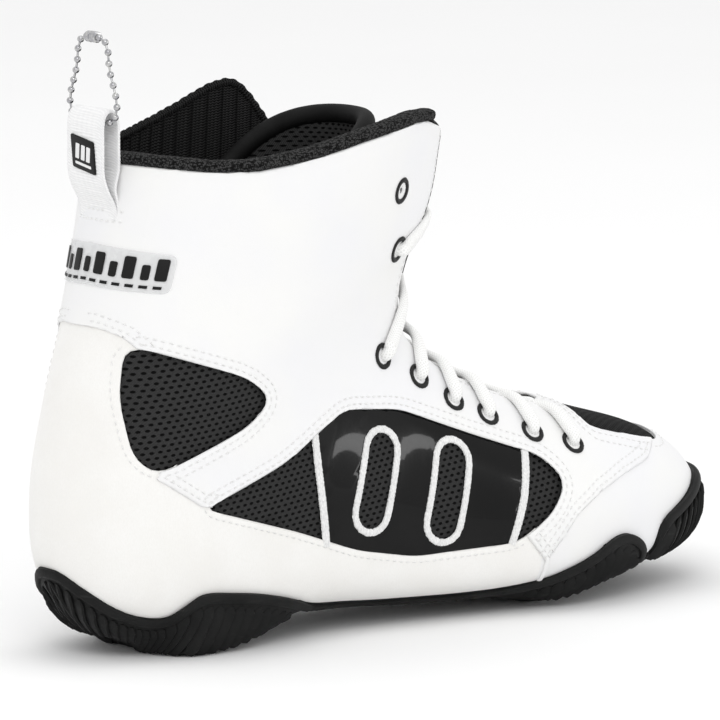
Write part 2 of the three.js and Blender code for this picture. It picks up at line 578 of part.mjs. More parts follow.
// plain bar behind the lowest pair
const [lowA, lowB] = [downward.at(-1), upward[0]].map(([row, k]) => row[k]);
for (const t of [.14, .24, .34, .45, .55, .66, .76, .86])
  lacePush(offSkin(lowA.u, THREE.MathUtils.lerp(lowA.phi, lowB.phi, t), laceUnder), lowA.along);
upward.forEach(([row, k], n) => {
  const h = row[k];
  throughHole(h, true);
  if (n < upward.length - 1) crossing(h, upward[n + 1][0][upward[n + 1][1]], n % 2 ? 1 : -1);
});
tail(innerRow[1], false);
add('lace', sweep(lace, laceWideDir, laceHalf, laceThick / 2, 6), lacing);

// ---- pull loop and ball chain --------------------------------------------
const backX = z => {
  let lo = .5, hi = 1;
  for (let k = 0; k < 40; k++) { const m = (lo + hi) / 2; if (skin(m, Math.PI).z < z) lo = m; else hi = m; }
  return skin(lo, Math.PI).x;
};
const loopFoot = 166 * sz, loopLow = 157 * sz, loopTop = 201.5 * sz;
const sewn = 2 * loopThick + gap;
add('loop_base', sideCut([[backX(loopLow) - .4, loopLow], [backX(loopFoot) - .4, loopFoot],
  [backX(loopFoot) - .4 - sewn, loopFoot], [backX(loopLow) - .4 - sewn, loopLow]], 0, loopWide / 2, loopWide / 2),
  webbing);
const rimBack = rimOuter[0][1], legIn = backX(rimBack) - 1.1, legOut = legIn - 8.4;
const loopSplit = loopFoot + gap;
const loopOuterLine = [[backX(loopSplit) - .5, loopSplit], [legIn, rimBack - 2], [legIn, loopTop - 5],
  [legIn - 1.4, loopTop - 1.2], [(legIn + legOut) / 2, loopTop], [legOut + 1.4, loopTop - 1.2], [legOut, loopTop - 5],
  [legOut, rimBack - 2], [backX(loopSplit) - .5 - sewn, loopSplit]];
const t = loopThick;
const loopHole = [[backX(loopSplit) - .5 - sewn / 2, loopSplit + 6], [legIn - t, rimBack - 1],
  [legIn - t, loopTop - 5.4], [legIn - 1.4 - t * .8, loopTop - 1.4 - t * .8], [(legIn + legOut) / 2, loopTop - t],
  [legOut + 1.4 + t * .8, loopTop - 1.4 - t * .8], [legOut + t, loopTop - 5.4], [legOut + t, rimBack - 1]];
add('pull_loop', sideCut(loopOuterLine, 0, loopWide / 2, loopWide / 2)
  .subtract(sideCut(loopHole, 0, loopWide, loopWide)), webbing);
const labelThick = .5, labelHalf = 7;
add('loop_label', sideCut([[legOut - gap, rimBack + 1], [legOut - gap, rimBack + 13],
  [legOut - gap - labelThick, rimBack + 13], [legOut - gap - labelThick, rimBack + 1]], 0, labelHalf, labelHalf),
  labelBlack);

const chainX = (legIn + legOut) / 2, chainLow = loopTop - t - chainRadius - 2;
const strand = [[3.5, 0], [8.6, 0], [11.4, .6], [13.6, 2.4], [14.6, 5.4], [14, 9.6], [12.4, 13.6], [10.8, 17.4],
  [9.8, 21.4], [9.5, 24.6], [8.7, 27.6], [6.6, 29.8], [3.9, 30.5]].map(([y, up]) => [y * loopWide / 22, up]);
const chainPath = new THREE.CatmullRomCurve3([...strand.map(([y, up]) => [-y, up]).reverse(), ...strand]
  .map(([y, up]) => new THREE.Vector3(chainX, y, chainLow + up)));
const chainSection = new THREE.Shape([...Array(8).keys()].map(k => new THREE.Vector2(
  chainRadius * Math.cos(k / 4 * Math.PI), chainRadius * Math.sin(k / 4 * Math.PI))));
add('ball_chain', toGeometry(toManifold(new THREE.ExtrudeGeometry(chainSection,
  { extrudePath: chainPath, steps: 56, bevelEnabled: false }))), steel);
// barrel that joins the two ends of the chain
const [barrelHalf, barrelTop] = [strand.at(-1)[0] - 2 * gap, chainLow + strand.at(-1)[1]];
const barrel = [[0, -barrelHalf], [1.5, -barrelHalf], [2, -barrelHalf + .5], [2, barrelHalf - .5], [1.5, barrelHalf],
  [0, barrelHalf]].map(p => new THREE.Vector2(...p));
add('chain_connector', toGeometry(toManifold(new THREE.LatheGeometry(barrel, 12)
  .translate(chainX, 0, barrelTop))), steel);

export default boot;
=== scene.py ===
"""Right boxing boot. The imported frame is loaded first, and the finished pieces are made over it.
+X runs to the toe, +Y to the inner side of the foot, +Z up. Shapes are worked out in millimetres."""
import math
import random

import bmesh
import bpy
import numpy as np
from mathutils import Matrix, Vector, noise
from mathutils.bvhtree import BVHTree


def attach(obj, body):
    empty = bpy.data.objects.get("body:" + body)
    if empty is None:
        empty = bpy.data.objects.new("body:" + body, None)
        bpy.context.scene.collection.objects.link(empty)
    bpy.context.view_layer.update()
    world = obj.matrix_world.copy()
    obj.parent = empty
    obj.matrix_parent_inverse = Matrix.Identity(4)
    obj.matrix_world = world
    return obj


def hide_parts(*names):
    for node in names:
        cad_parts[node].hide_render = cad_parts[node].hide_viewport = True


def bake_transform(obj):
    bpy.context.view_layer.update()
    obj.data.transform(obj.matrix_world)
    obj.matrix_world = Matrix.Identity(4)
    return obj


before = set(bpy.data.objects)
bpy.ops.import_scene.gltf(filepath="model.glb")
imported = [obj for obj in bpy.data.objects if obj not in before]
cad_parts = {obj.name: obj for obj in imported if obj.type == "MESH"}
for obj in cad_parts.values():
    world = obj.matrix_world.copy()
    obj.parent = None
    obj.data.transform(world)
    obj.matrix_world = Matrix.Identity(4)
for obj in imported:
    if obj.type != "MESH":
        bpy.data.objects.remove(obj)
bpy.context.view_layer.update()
MM = 0.001
PI = math.pi
SIDES = ((-1, "outer"), (1, "inner"))
scene = bpy.context.scene
chance = random.Random(11)

# ---- camera --------------------------------------------------------------
CAMERA_AWAY = 2.2
look = Vector((0.100, 0.0, 0.095))
azimuth, elevation = math.radians(-38), math.radians(9)
back = Vector((math.sin(azimuth) * math.cos(elevation), -math.cos(azimuth) * math.cos(elevation),
               math.sin(elevation)))
camera = bpy.data.objects.new("camera", bpy.data.cameras.new("camera"))
scene.collection.objects.link(camera)
camera.data.lens, camera.data.sensor_width = 291.5, 36
camera.data.shift_x, camera.data.shift_y = 0.0167, 0.0083
camera.rotation_mode = "QUATERNION"
camera.location = look + back * CAMERA_AWAY
camera.rotation_quaternion = (-back).to_track_quat("-Z", "Y")
scene.camera = camera

# ---- finishes ------------------------------------------------------------


class Value:
    """A shader socket that takes arithmetic: each operation adds its Math node."""

    def __init__(self, finish, socket):
        self.finish, self.socket = finish, socket

    def apply(self, operation, *values):
        return self.finish.node("ShaderNodeMath", {"operation": operation}, dict(enumerate(values)))


def operator(operation, step=1):
    """A method that makes the node; a step of -1 puts the value after the other one."""
    return lambda value, *others: value.apply(operation, *(value, *others)[::step])


for name, operation in (("add", "ADD"), ("sub", "SUBTRACT"), ("mul", "MULTIPLY"), ("truediv", "DIVIDE"),
                        ("mod", "FLOORED_MODULO")):
    setattr(Value, f"__{name}__", operator(operation))
    setattr(Value, f"__r{name}__", operator(operation, -1))
for name, operation in (("__abs__", "ABSOLUTE"), ("floor", "FLOOR"), ("sine", "SINE"), ("root", "SQRT"),
                        ("most", "MAXIMUM")):
    setattr(Value, name, operator(operation))


class Finish:
    """A material whose nodes are added one by one."""

    def __init__(self, name, **fixed):
        self.material = bpy.data.materials.new(name)
        self.material.use_nodes = True
        self.tree = self.material.node_tree
        self.shader = next(n for n in self.tree.nodes if n.type == "BSDF_PRINCIPLED")
        for socket, value in fixed.items():
            self.shader.inputs[socket.replace("_", " ")].default_value = value

    def node(self, kind, settings=None, inputs=None, out=0):
        made = self.tree.nodes.new(kind)
        for key, value in (settings or {}).items():
            setattr(made, key, value)
        for key, value in (inputs or {}).items():
            if isinstance(value, Value):
                self.tree.links.new(value.socket, made.inputs[key])
            else:
                made.inputs[key].default_value = value
        return Value(self, made.outputs[out])

    def feed(self, **links):
        for socket, value in links.items():
            self.tree.links.new(value.socket, self.shader.inputs[socket.replace("_", " ")])
        return self

    def place(self, turn=(0, 0, 0), scale=(1, 1, 1)):
        """The point on the piece in millimetres, turned and stretched."""
        where = self.node("ShaderNodeTexCoord", out="Object")
        return self.node("ShaderNodeMapping", None, {"Vector": where, "Rotation": turn,
                                                     "Scale": tuple(s / MM for s in scale)})

    def flat(self):
        """The point on the piece's own flattened pattern in millimetres."""
        where = self.node("ShaderNodeUVMap", {"uv_map": "flat"})
        return self.node("ShaderNodeMapping", None, {"Vector": where, "Scale": (1 / MM, 1 / MM, 1 / MM)})

    def parts(self, point):
        return [self.node("ShaderNodeSeparateXYZ", None, {0: point}, out=k) for k in range(3)]

    def noise(self, point, size, detail, rough=.5):
        """Cloudy noise from 0 to 1 with clouds of about that size in millimetres."""
        return self.node("ShaderNodeTexNoise", None, {"Vector": point, "Scale": 1 / size, "Detail": detail,
                                                      "Roughness": rough})

    def cells(self, point, size):
        return self.node("ShaderNodeTexVoronoi", None, {"Vector": point, "Scale": 1 / size})

    def spread(self, value, low, high, to_low=0.0, to_high=1.0):
        return self.node("ShaderNodeMapRange", {"interpolation_type": "SMOOTHSTEP"},
                         {"Value": value, "From Min": low, "From Max": high, "To Min": to_low,
                          "To Max": to_high})

    def blend(self, share, first, second):
        made = self.tree.nodes.new("ShaderNodeMix")
        made.data_type = "RGBA"
        for socket, value in (("Factor_Float", share), ("A_Color", first), ("B_Color", second)):
            target = next(s for s in made.inputs if s.identifier == socket)
            if isinstance(value, Value):
                self.tree.links.new(value.socket, target)
            else:
                target.default_value = value if socket == "Factor_Float" else (*value, 1)
        return Value(self, next(s for s in made.outputs if s.identifier == "Result_Color"))

    def done(self, tint, rough, height, depth, strength):
        """Feeds colour and roughness, raises the surface by a height share times a depth in millimetres."""
        bump = self.node("ShaderNodeBump", None, {"Height": height, "Distance": depth * MM,
                                                  "Strength": strength})
        return self.feed(Base_Color=tint, Roughness=rough, Normal=bump).material


def grey(value):
    return (value, value, value)


def wave(phase):
    """A wave from 0 to 1 over a phase in radians."""
    return phase.sine() * .5 + .5


def coated_leather(name, light=.83, rough=.42):
    """Smooth coated leather: faint pores, soft broad shading, a few finger marks."""
    f = Finish(name, Specular_IOR_Level=.45, Coat_Weight=.06, Coat_Roughness=.35)
    p = f.place()
    pores = f.cells(p, .55)
    broad = f.noise(p, 38, 2)
    fine = f.noise(p, 3.2, 4)
    tint = f.blend(f.spread(broad, .3, .7), (light * .975, light * .975, light * .99),
                   (light, light * .998, light * .985))
    tint = f.blend(f.spread(fine, .62, .8, 0, .25), tint, (light * .93, light * .925, light * .91))
    height = f.spread(pores, .05, .45) * .6 + fine * .4
    return f.done(tint, rough + fine * .12 - broad * .05, height, .05, .55)


def napped_leather(name, light=.85):
    """Matt off-white leather with a short nap that turns light and dark in patches."""
    f = Finish(name, Specular_IOR_Level=.25, Sheen_Weight=.25, Sheen_Roughness=.5)
    p = f.place()
    nap = f.noise(f.place(turn=(0, .35, 0), scale=(1, 1, .35)), .42, 3, .7)
    patch = f.noise(p, 22, 3)
    tint = f.blend(f.spread(patch, .3, .72), (light, light * .993, light * .972),
                   (light * .965, light * .953, light * .925))
    tint = f.blend(f.spread(nap, .35, .7, 0, .35), tint, (light * .91, light * .895, light * .86))
    return f.done(tint, .82 + nap * .12, nap, .09, .7)


def spacer_mesh(name, first, second, turn=0.0, hole=(3.0, 2.05)):
    """Warp-knit spacer mesh in the plane of two axes: staggered oval holes between twisted threads, with
    painted shade filling the holes.
    """
    f = Finish(name, Specular_IOR_Level=.1)
    axes = f.parts(f.place())
    a, b = axes[first], axes[second]
    if turn:
        a, b = a * math.cos(turn) + b * math.sin(turn), b * math.cos(turn) - a * math.sin(turn)
    row = (b / hole[1]).floor()
    across = ((a / hole[0] + (row % 2) * .5) % 1 - .5) * 2
    upward = ((b / hole[1]) % 1 - .5) * 2
    reach = (across * across * 1.15 + upward * upward * 1.45).root()
    wall = f.spread(reach, .42, .72)
    thread = wave(a * 2 * PI / .42 + b * 3.2)
    fuzz = f.noise(f.place(), .5, 3)
    # painted shade: the holes are near black, and the threads are painted lighter where their twist is
    # raised
    tint = f.blend(wall, grey(.0006), f.blend(thread * .6 + fuzz * .4, grey(.010), grey(.052)))
    return f.done(tint, .72 + fuzz * .2, wall * .8 + thread * wall * .12 + fuzz * .08, .6, .9)


def fine_mesh(name, first, second):
    """Close ribbed mesh of the toe: narrow slanted ribs with small openings between them, painted near black
    as shade in the openings and low parts.
    """
    f = Finish(name, Specular_IOR_Level=.1)
    axes = f.parts(f.place())
    a, b = axes[first] * .8 + axes[second] * .6, axes[second] * .8 - axes[first] * .6
    rib = wave(a * 2 * PI / 1.7)
    bar = wave(b * 2 * PI / 2.2 + rib * 1.2)
    height = rib * .62 + bar * .38
    fuzz = f.noise(f.place(), .5, 3)
    # painted shade: the openings and low parts of the ribs are near black
    tint = f.blend(f.spread(height, .25, .75), grey(.002), f.blend(fuzz, grey(.008), grey(.03)))
    return f.done(tint, .75 + fuzz * .18, height * .85 + fuzz * .15, .5, .9)


def patent(name):
    f = Finish(name, Specular_IOR_Level=.06, Coat_Weight=1.0, Coat_Roughness=.04, Coat_IOR=1.22)
    p = f.place()
    wave = f.noise(p, 26, 2)
    dust = f.noise(p, 1.1, 4)
    tint = f.blend(f.spread(wave, .35, .7), grey(.002), grey(.004))
    return f.done(tint, .12 + dust * .10, wave * .9 + dust * .1, .5, .25)


def moulded_rubber(name):
    """Black sole rubber, matt with a faint mould texture and a little pale scuffing."""
    f = Finish(name, Specular_IOR_Level=.14)
    p = f.place()
    grain = f.noise(p, .55, 3)
    broad = f.noise(p, 17, 3)
    scuff = f.spread(f.noise(f.place(scale=(.25, .25, 1)), 2.2, 5), .63, .75)
    tint = f.blend(f.spread(broad, .3, .7), (.0055, .0056, .0056), (.011, .0112, .011))
    tint = f.blend(scuff * .3, tint, (.045, .045, .044))
    return f.done(tint, .5 + grain * .14 + scuff * .1, grain, .05, .5)


def ribbed_knit(name, rib):
    """Black knit: small V-shaped loops in columns down the piece, with painted shade in the low parts of the
    loops and between the ribs.
    """
    f = Finish(name, Specular_IOR_Level=.08)
    a, b, _ = f.parts(f.flat())
    column = abs(((a / .95) % 1 - .5) * 2)
    loop = wave((b / 1.05 + column * .42) * 2 * PI)
    height = loop * .7 + (1 - column) * .3
    fuzz = f.noise(f.place(), .45, 3)
    # painted shade: darker in the low parts of the loops, and darker still between the ribs
    tint = f.blend(f.spread(height, .15, .85), grey(.0015), f.blend(fuzz, grey(.012), grey(.042)))
    valley_shade = 1 - abs((a / rib) % 1 - .5) * 2
    tint = f.blend(f.spread(valley_shade, .6, 1.15), tint, grey(.0008))
    return f.done(tint, .8 + fuzz * .15, height * .8 + fuzz * .2, .35, .9)


def woven_tape(name, dark=.004, pale=.055):
    """Woven folded tape: short flecks of lighter yarn in a black weave."""
    f = Finish(name, Specular_IOR_Level=.1)
    a, b, _ = f.parts(f.flat())
    warp = wave(a * 2 * PI / .8)
    weft = wave(b * 2 * PI / .8 + (a / .8).floor() * PI)
    fleck = f.cells(f.place(scale=(.8, .8, 1.4)), .85)
    height = warp * .35 + weft * .35 + (1 - fleck) * .3
    tint = f.blend(f.spread(fleck * .8 + weft * .2, .25, .65), grey(pale), grey(dark))
    return f.done(tint, .8 + fleck * .12, height, .35, .9)


def smooth_binding(name):
    """Soft black lycra of the tongue's rolled edge."""
    f = Finish(name, Specular_IOR_Level=.14)
    p = f.place()
    weave = f.noise(f.place(scale=(2.6, 1, 1)), .6, 2)
    broad = f.noise(p, 12, 2)
    tint = f.blend(f.spread(broad, .3, .7), grey(.0045), grey(.009))
    return f.done(tint, .62 + weave * .15, weave, .05, .5)


def lace_weave(name):
    """Flat tubular cotton lace: plaited yarns slanting both ways, painted darker as shade where they dip."""
    f = Finish(name, Specular_IOR_Level=.25, Sheen_Weight=.2, Sheen_Roughness=.5)
    a, b, _ = f.parts(f.flat())
    left = wave((a + b) * 2 * PI / 1.15)
    right = wave((a - b) * 2 * PI / 1.15)
    height = left.most(right)
    fuzz = f.noise(f.place(), .6, 3)
    # painted shade: the yarns are darker where they dip between crossings
    tint = f.blend(f.spread(height, .3, .9), (.76, .76, .745), (.90, .90, .89))
    return f.done(tint, .78 + fuzz * .15, height * .75 + fuzz * .25, .12, .8)


def webbing(name):
    f = Finish(name, Specular_IOR_Level=.25, Sheen_Weight=.15, Sheen_Roughness=.5)
    a, b, _ = f.parts(f.flat())
    warp = wave(a * 2 * PI / .7)
    rib = wave(b * 2 * PI / 1.3 + (a / .35).floor() * .4)
    height = rib * .7 + warp * .3
    # painted shade: the webbing is darker where its ribs dip
    tint = f.blend(f.spread(height, .1, .9), (.80, .80, .805), (.88, .88, .88))
    return f.done(tint, .76 + warp * .12, height, .15, .6)


def thread(name, low, high, twist=.5):
    """Sewing thread: a fine twist across its length, its colour partly uneven yarn and partly painted shade
    in the twist's grooves.
    """
    f = Finish(name, Specular_IOR_Level=.35, Sheen_Weight=.3, Sheen_Roughness=.3)
    ply = f.noise(f.place(turn=(.5, .4, .7), scale=(3, .6, .6)), twist, 3)
    # partly uneven yarn colour, partly painted shade: the grooves of the twist are darker
    tint = f.blend(f.spread(ply, .3, .7), low, high)
    return f.done(tint, .55 + ply * .25, ply, .1, .8)


def nickel(name):
    f = Finish(name, Metallic=1.0)
    p = f.place()
    dull = f.noise(p, 1.6, 4)
    tint = f.blend(f.spread(dull, .35, .7), (.38, .38, .40), (.56, .56, .55))
    return f.done(tint, .16 + dull * .16, dull, .02, .3)


def clear_film(name):
    f = Finish(name, Specular_IOR_Level=.5, Alpha=.42)
    p = f.place()
    mist = f.noise(p, 5, 3)
    tint = f.blend(f.spread(mist, .3, .7), (.84, .845, .85), (.88, .885, .89))
    return f.done(tint, .22 + mist * .12, mist, .05, .4)


def ink(name, low, high):
    f = Finish(name, Specular_IOR_Level=.18)
    p = f.place()
    grain = f.noise(p, .7, 4)
    return f.done(f.blend(grain, low, high), .38 + grain * .2, grain, .03, .4)


def pale_floor(name):
    f = Finish(name, Specular_IOR_Level=.1)
    tint = f.blend(f.noise(f.place(), 300, 2), grey(.93), grey(.95))
    return f.feed(Base_Color=tint, Roughness=.9 + f.noise(f.place(), 50, 2) * .05).material


def board(name):
    f = Finish(name, Specular_IOR_Level=.2)
    fibre = f.noise(f.place(scale=(.25, 1, 1)), .8, 4, .6)
    tint = f.blend(f.spread(fibre, .3, .7), (.50, .42, .30), (.64, .56, .43))
    return f.done(tint, .85 + fibre * .1, fibre, .08, .6)


RIBS = 66               # ribs of the collar's knit, all the way round
SHAFT_ROUND = 255       # length of the skin round the shaft, in millimetres
finishes = {
    "leather": coated_leather("coated_leather"),
    "nap": napped_leather("napped_leather"),
    "toe_leather": coated_leather("toe_leather", .825, .5),
    "side_mesh": spacer_mesh("side_mesh", 0, 2, .12),
    "toe_mesh": fine_mesh("toe_mesh", 0, 1),
    "tongue_mesh": spacer_mesh("tongue_mesh", 1, 2, 0, (2.5, 1.7)),
    "patent": patent("patent"),
    "rubber": moulded_rubber("sole_rubber"),
    "knit": ribbed_knit("ribbed_knit", SHAFT_ROUND / RIBS),
    "tape": woven_tape("collar_tape"),
    "roll": smooth_binding("rolled_edge"),
    "foot_lining": smooth_binding("foot_lining"),
    "lace": lace_weave("lace_weave"),
    "webbing": webbing("loop_webbing"),
    "white_thread": thread("white_thread", (.70, .70, .69), (.86, .86, .85)),
    "satin_thread": thread("satin_thread", (.62, .62, .62), (.88, .88, .87), .7),
    "black_thread": thread("black_thread", grey(.002), grey(.014)),
    "nickel": nickel("bead_nickel"),
    "film": clear_film("patch_film"),
    "black_ink": ink("black_ink", grey(.004), grey(.012)),
    "label": ink("label_cloth", grey(.004), grey(.012)),
    "white_ink": ink("white_ink", grey(.72), grey(.84)),
    "board": board("fibreboard"),
    "floor": pale_floor("pale_floor"),
}

# ---- the outer skin of the boot ------------------------------------------
# sole or back point x z, top or front point x z, outer and inner half width,
# height share of the widest line, roundness of the upper and the lower part
STATIONS = np.array([
    [260, 31, 260, 33, 1, 1, .45, 2, 2],
    [258, 24, 258, 44, 17, 18, .42, 2, 2.4],
    [250, 18, 249, 54, 29, 29, .40, 2.1, 3],
    [234, 13, 231, 63, 39, 37, .38, 2.2, 3.5],
    [209, 9.5, 204, 71, 46, 43, .35, 2.2, 3.8],
    [176, 7, 174, 79, 49, 45, .32, 2.1, 4],
    [142, 7, 150, 89, 47, 43, .30, 2, 4],
    [108, 8, 131, 100, 43, 39, .30, 2, 4],
    [74, 10, 121, 110, 40, 36, .32, 2, 4],
    [38, 10, 117, 119, 39, 35, .33, 2, 4],
    [4, 9, 117, 127, 38, 36, .36, 2.1, 4],
    [-24, 16, 119, 134, 38, 37, .40, 2.1, 3.2],
    [-39, 34, 121, 142, 38, 37, .44, 2.1, 2.4],
    [-41, 60, 123, 150, 39, 38, .46, 2.1, 2.2],
    [-35, 90, 125, 158, 41, 40, .48, 2.1, 2.1],
    [-26, 120, 126, 167, 43, 42, .50, 2.1, 2.1],
    [-18, 150, 127, 180, 46, 45, .50, 2.1, 2.1],
    [-10, 190, 129, 200, 50, 49, .50, 2.1, 2.1],
    [-6, 210, 131, 214, 52, 51, .50, 2.1, 2.1]])


def ease(x, low, high):
    t = np.clip((x - low) / (high - low), 0, 1)
    return t * t * (3 - 2 * t)


def between(a, b, c, d, f):
    """A smooth curve from b to c, with a before them and d after."""
    return b + .5 * f * (c - a + f * (2 * a - 5 * b + 4 * c - d + f * (3 * (b - c) + d - a)))


def station(u):
    t = np.clip(u, 0, 1) * (len(STATIONS) - 1)
    i = np.minimum(t.astype(int), len(STATIONS) - 2)
    f = (t - i)[:, None]
    a, b, c, d = (STATIONS[np.clip(i + k, 0, len(STATIONS) - 1)] for k in (-1, 0, 1, 2))
    return between(a, b, c, d, f)


def skin(u, phi):
    """Points of the skin. Angle 0 is the top or front line, PI the sole or back line; minus is outer."""
    u, phi = np.broadcast_arrays(np.atleast_1d(np.asarray(u, float)), np.asarray(phi, float))
    s, c, sn = station(u), np.cos(phi), np.sin(phi)
    power = 2 / np.where(c >= 0, s[:, 7], s[:, 8])
    h = s[:, 6] + np.sign(c) * np.where(c >= 0, 1 - s[:, 6], s[:, 6]) * np.abs(c) ** power
    y = np.sign(sn) * np.where(sn < 0, s[:, 4], s[:, 5]) * np.abs(sn) ** power
    return np.stack([s[:, 0] + h * (s[:, 2] - s[:, 0]), y, s[:, 1] + h * (s[:, 3] - s[:, 1])], 1)


def skin_normal(u, phi):
    u, phi = np.broadcast_arrays(np.atleast_1d(np.asarray(u, float)), np.asarray(phi, float))
    along = skin(np.minimum(u + .02, 1), phi) - skin(np.maximum(u - .02, 0), phi)
    n = -np.cross(along, skin(u, phi + .06) - skin(u, phi - .06))
    return n / np.maximum(np.linalg.norm(n, axis=1, keepdims=True), 1e-9)


def off_skin(u, phi, depth):
    return skin(u, phi) + skin_normal(u, phi) * np.reshape(depth, (-1, 1))


def spot(u, phi, depth):
    return Vector(off_skin(u, phi, depth)[0])


def run_along(points):
    """Distance along a line of points, from its first one."""
    return np.concatenate([[0], np.cumsum(np.linalg.norm(np.diff(points, axis=0), axis=1))])


# even steps along the side line, so that the faces come out nearly square
even_u = np.linspace(0, 1, 400)
side_line = (skin(even_u, PI / 2) + skin(even_u, -PI / 2)) / 2
side_run = run_along(side_line)
SKIN_LONG = side_run[-1]


def share_to_u(share):
    return np.interp(share * SKIN_LONG, side_run, even_u)


# ---- making surfaces -----------------------------------------------------


def lattice(across, along, place, pattern=(1, 1)):
    """A grid whose points a rule places from two shares, 0 to 1; its pattern's size is in millimetres."""
    bm = bmesh.new()
    bmesh.ops.create_grid(bm, x_segments=across, y_segments=along, size=.5)
    flat = bm.loops.layers.uv.new("flat")
    shares = np.array([v.co[:2] for v in bm.verts]) + .5
    for face in bm.faces:
        for loop in face.loops:
            x, y, _ = loop.vert.co
            loop[flat].uv = ((x + .5) * pattern[0] * MM, (y + .5) * pattern[1] * MM)
    for v, point in zip(bm.verts, place(shares[:, 0], shares[:, 1])):
        v.co = point
    return bm


def sock(step, high=1.0):
    """The closed skin as even faces, from the toe up to a share of its length."""
    long = SKIN_LONG * high
    bm = lattice(round(250 / step), round(long / step),
                 lambda a, b: skin(share_to_u(b * high), a * 2 * PI - PI), (250, long))
    bmesh.ops.remove_doubles(bm, verts=bm.verts, dist=.02)
    bm.normal_update()
    return bm


def swept(points, wide, half_wide, half_thick, sides=12, closed=False, power=1.0, pattern=None):
    """A bar along points; wide gives the direction of its width. Half sizes may change along it."""
    points = [Vector(p) for p in points]
    n, last, frames = len(points), None, []
    for i, p in enumerate(points):
        t = points[(i + 1) % n if closed else min(i + 1, n - 1)] - points[i - 1 if closed or i else 0]
        t.normalize()
        w = Vector(wide[i] if len(wide) == n else wide[0])
        w = (w - t * w.dot(t)).normalized()
        if last and w.dot(last) < 0:
            w.negate()
        last = w
        frames.append((p, w, t.cross(w)))
    rings = n if closed else n - 1
    hw = half_wide if hasattr(half_wide, "__len__") else [half_wide] * n
    ht = half_thick if hasattr(half_thick, "__len__") else [half_thick] * n

    def place(a, b):
        made = []
        for x, y in zip(a, b):
            i = round(y * rings) % n
            p, w, v = frames[i]
            c, s = math.cos(x * 2 * PI), math.sin(x * 2 * PI)
            made.append(p + w * hw[i] * math.copysign(abs(c) ** power, c)
                        + v * ht[i] * math.copysign(abs(s) ** power, s))
        return made
    long = sum((points[i + 1] - points[i]).length for i in range(n - 1))
    bm = lattice(sides, rings, place, pattern or (4 * max(hw), long))
    bmesh.ops.remove_doubles(bm, verts=bm.verts, dist=.001)
    if not closed:
        bmesh.ops.holes_fill(bm, edges=[e for e in bm.edges if e.is_boundary], sides=0)
    return bm


def smooth_line(points, step, closed=False):
    """Points about a step apart on a smooth curve through the given ones."""
    points = [Vector(p) for p in points]
    n, out = len(points), []
    pick = (lambda k: points[k % n]) if closed else (lambda k: points[min(max(k, 0), n - 1)])
    for i in range(n if closed else n - 1):
        a, b, c, d = pick(i - 1), pick(i), pick(i + 1), pick(i + 2)
        count = max(1, round((c - b).length / step))
        for k in range(count):
            out.append(between(a, b, c, d, k / count))
    return out if closed else out + [points[-1]]


def even(line, step, closed=False):
    """Points a step apart along a line of straight stretches."""
    line = [Vector(p) for p in line] + ([Vector(line[0])] if closed else [])
    marks = np.concatenate([[0], np.cumsum([(b - a).length for a, b in zip(line, line[1:])])])
    count = max(2, round(marks[-1] / step) + (0 if closed else 1))
    wanted = np.linspace(0, marks[-1], count, endpoint=not closed)
    coords = np.array([tuple(p) for p in line])
    return [Vector([np.interp(w, marks, coords[:, k]) for k in range(coords.shape[1])]) for w in wanted]


def relax(line, times):
    """The line with its small wobbles taken out; its ends stay."""
    for _ in range(times):
        line = line[:1] + [(a + b * 2 + c) / 4 for a, b, c in zip(line, line[1:], line[2:])] + line[-1:]
    return line


def nearest(points, line, values):
    """For each point, the value that belongs to the nearest point of a line."""
    return [values[min(range(len(line)), key=lambda k: (line[k] - p).length_squared)] for p in points]


def tapered(count, first):
    """Size shares along a bar that grows from a first share to full over six points at each end."""
    return [min(1.0, first + (1 - first) * min(i, count - 1 - i) / 6) for i in range(count)]


def piece(name, bm, finish, body="boot", wall=0.0, sharp=40, replaces=(), ridden=True):
    """Turns a shape in millimetres into a finished object that rides on a body."""
    bmesh.ops.transform(bm, matrix=Matrix.Scale(MM, 4), verts=bm.verts)
    mesh = bpy.data.meshes.new(name)
    bm.to_mesh(mesh)
    bm.free()
    mesh.materials.append(finishes[finish])
    mesh.shade_smooth()
    mesh.set_sharp_from_angle(angle=math.radians(sharp))
    made = bpy.data.objects.new(name, mesh)
    scene.collection.objects.link(made)
    if wall:
        layer = made.modifiers.new("wall", "SOLIDIFY")
        layer.thickness, layer.offset = wall * MM, -1
    if ridden:
        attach(made, body)
    if replaces:
        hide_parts(*replaces)
    return made


# ---- outlines, drawn in the side view ------------------------------------


def area(line):
    return sum(x * v - u * y for (x, y), (u, v) in zip(line, line[1:] + line[:1])) / 2


def grow(line, d):
    """A closed outline moved outward by a distance, or inward by a negative one."""
    turn, n, out = math.copysign(1, area(line)), len(line), []
    for i, p in enumerate(line):
        sides = []
        for a, b in ((line[i - 1], p), (p, line[(i + 1) % n])):
            sides.append(Vector((b[1] - a[1], a[0] - b[0])).normalized() * turn)
        m = (sides[0] + sides[1]).normalized()
        k = d / max(m.dot(sides[0]), .45)
        out.append((p[0] + m.x * k, p[1] + m.y * k))
    return out


def soften(line, r, steps=1):
    """A closed outline with its corners rounded."""
    n, out = len(line), []
    for i, p in enumerate(line):
        a, b, c = Vector(line[i - 1]), Vector(p), Vector(line[(i + 1) % n])
        s = b.lerp(a, min(r, (a - b).length * .45) / (a - b).length)
        e = b.lerp(c, min(r, (c - b).length * .45) / (c - b).length)
        for k in range(2 * steps + 1):
            t = k / (2 * steps)
            q = s * (1 - t) ** 2 + b * 2 * t * (1 - t) + e * t * t
            out.append((q.x, q.y))
    return out


